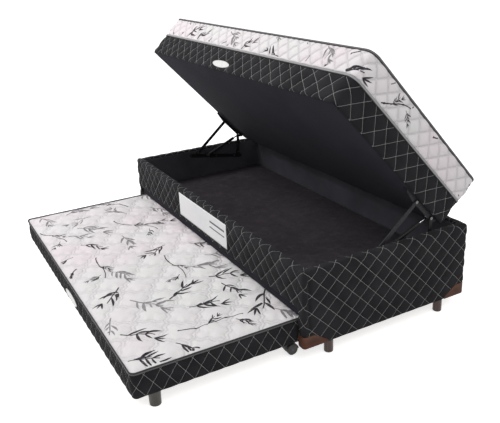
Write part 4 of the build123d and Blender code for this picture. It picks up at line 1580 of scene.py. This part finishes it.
def floor_finish():
    """A pale floor that the camera sees as white, with the object's shadow."""
    finish = Finish("floor", Roughness=1.0, Specular_IOR_Level=0.0)
    tone = finish.fade(finish.noise(0.8, 2), 0.3, 0.7)
    finish.colour(finish.blend(tone, rgb(0.80, 0.80, 0.80), rgb(0.82, 0.82, 0.82)))
    path = finish.add("ShaderNodeLightPath")
    finish.shader.inputs["Emission Color"].default_value = rgb(1, 1, 1)
    seen = finish.sum("MAXIMUM", path.outputs["Is Camera Ray"], path.outputs["Is Glossy Ray"])
    finish.join(finish.sum("MULTIPLY", seen, floor_glow), finish.shader.inputs["Emission Strength"])
    return finish.material


def make_floor():
    corners = ((-1, -1), (1, -1), (1, 1), (-1, 1))
    floor = mesh_object("floor", [(floor_half * x, floor_half * y, 0) for x, y in corners],
                        [[0, 1, 2, 3]], "base", floor_finish())
    floor.location.z = -floor_gap


def make_world():
    world = bpy.data.worlds.new("studio")
    bpy.context.scene.world = world
    world.use_nodes = True
    tree = world.node_tree
    light = tree.nodes["Background"]
    light.inputs["Color"].default_value = rgb(1, 1, 1)
    light.inputs["Strength"].default_value = studio_light
    white = tree.nodes.new("ShaderNodeBackground")
    white.inputs["Strength"].default_value = 1.0
    white.inputs["Color"].default_value = rgb(1, 1, 1)
    path = tree.nodes.new("ShaderNodeLightPath")
    either = tree.nodes.new("ShaderNodeMath")
    either.operation = "MAXIMUM"
    for number, ray in enumerate(("Is Camera Ray", "Is Glossy Ray")):
        tree.links.new(path.outputs[ray], either.inputs[number])
    mix = tree.nodes.new("ShaderNodeMixShader")
    tree.links.new(either.outputs[0], mix.inputs[0])
    tree.links.new(light.outputs[0], mix.inputs[1])
    tree.links.new(white.outputs[0], mix.inputs[2])
    tree.links.new(mix.outputs[0], tree.nodes["World Output"].inputs["Surface"])


def area_light(name, place, target, size, power):
    data = bpy.data.lights.new(name, "AREA")
    data.energy = power
    data.size = size
    lamp = bpy.data.objects.new(name, data)
    lamp.location = place
    lamp.rotation_euler = (Vector(target) - Vector(place)).to_track_quat("-Z", "Y").to_euler()
    bpy.context.scene.collection.objects.link(lamp)


def make_camera():
    data = bpy.data.cameras.new("camera")
    data.sensor_fit = "HORIZONTAL"
    data.sensor_width = sensor_width
    data.lens = photo_focal_length * sensor_width / photo_width
    back = Vector((sin(camera_azimuth) * cos(camera_elevation),
                   -cos(camera_azimuth) * cos(camera_elevation), sin(camera_elevation)))
    level_right = Vector((0, 0, 1)).cross(back).normalized()
    level_up = back.cross(level_right)
    right = level_right * cos(camera_roll) + level_up * sin(camera_roll)
    up = level_up * cos(camera_roll) - level_right * sin(camera_roll)
    camera = bpy.data.objects.new("camera", data)
    place = camera_target + back * camera_distance
    camera.matrix_world = Matrix.Translation(place) @ Matrix((right, up, back)).transposed().to_4x4()
    bpy.context.scene.collection.objects.link(camera)
    bpy.context.scene.camera = camera


make_floor()
make_world()
area_light("key", (-2.2, -2.6, 4.6), light_target, 2.0, 155)
area_light("side", (3.4, 0.4, 4.0), side_light_target, 2.0, 42)
make_camera()
bpy.context.scene.view_settings.view_transform = "Standard"
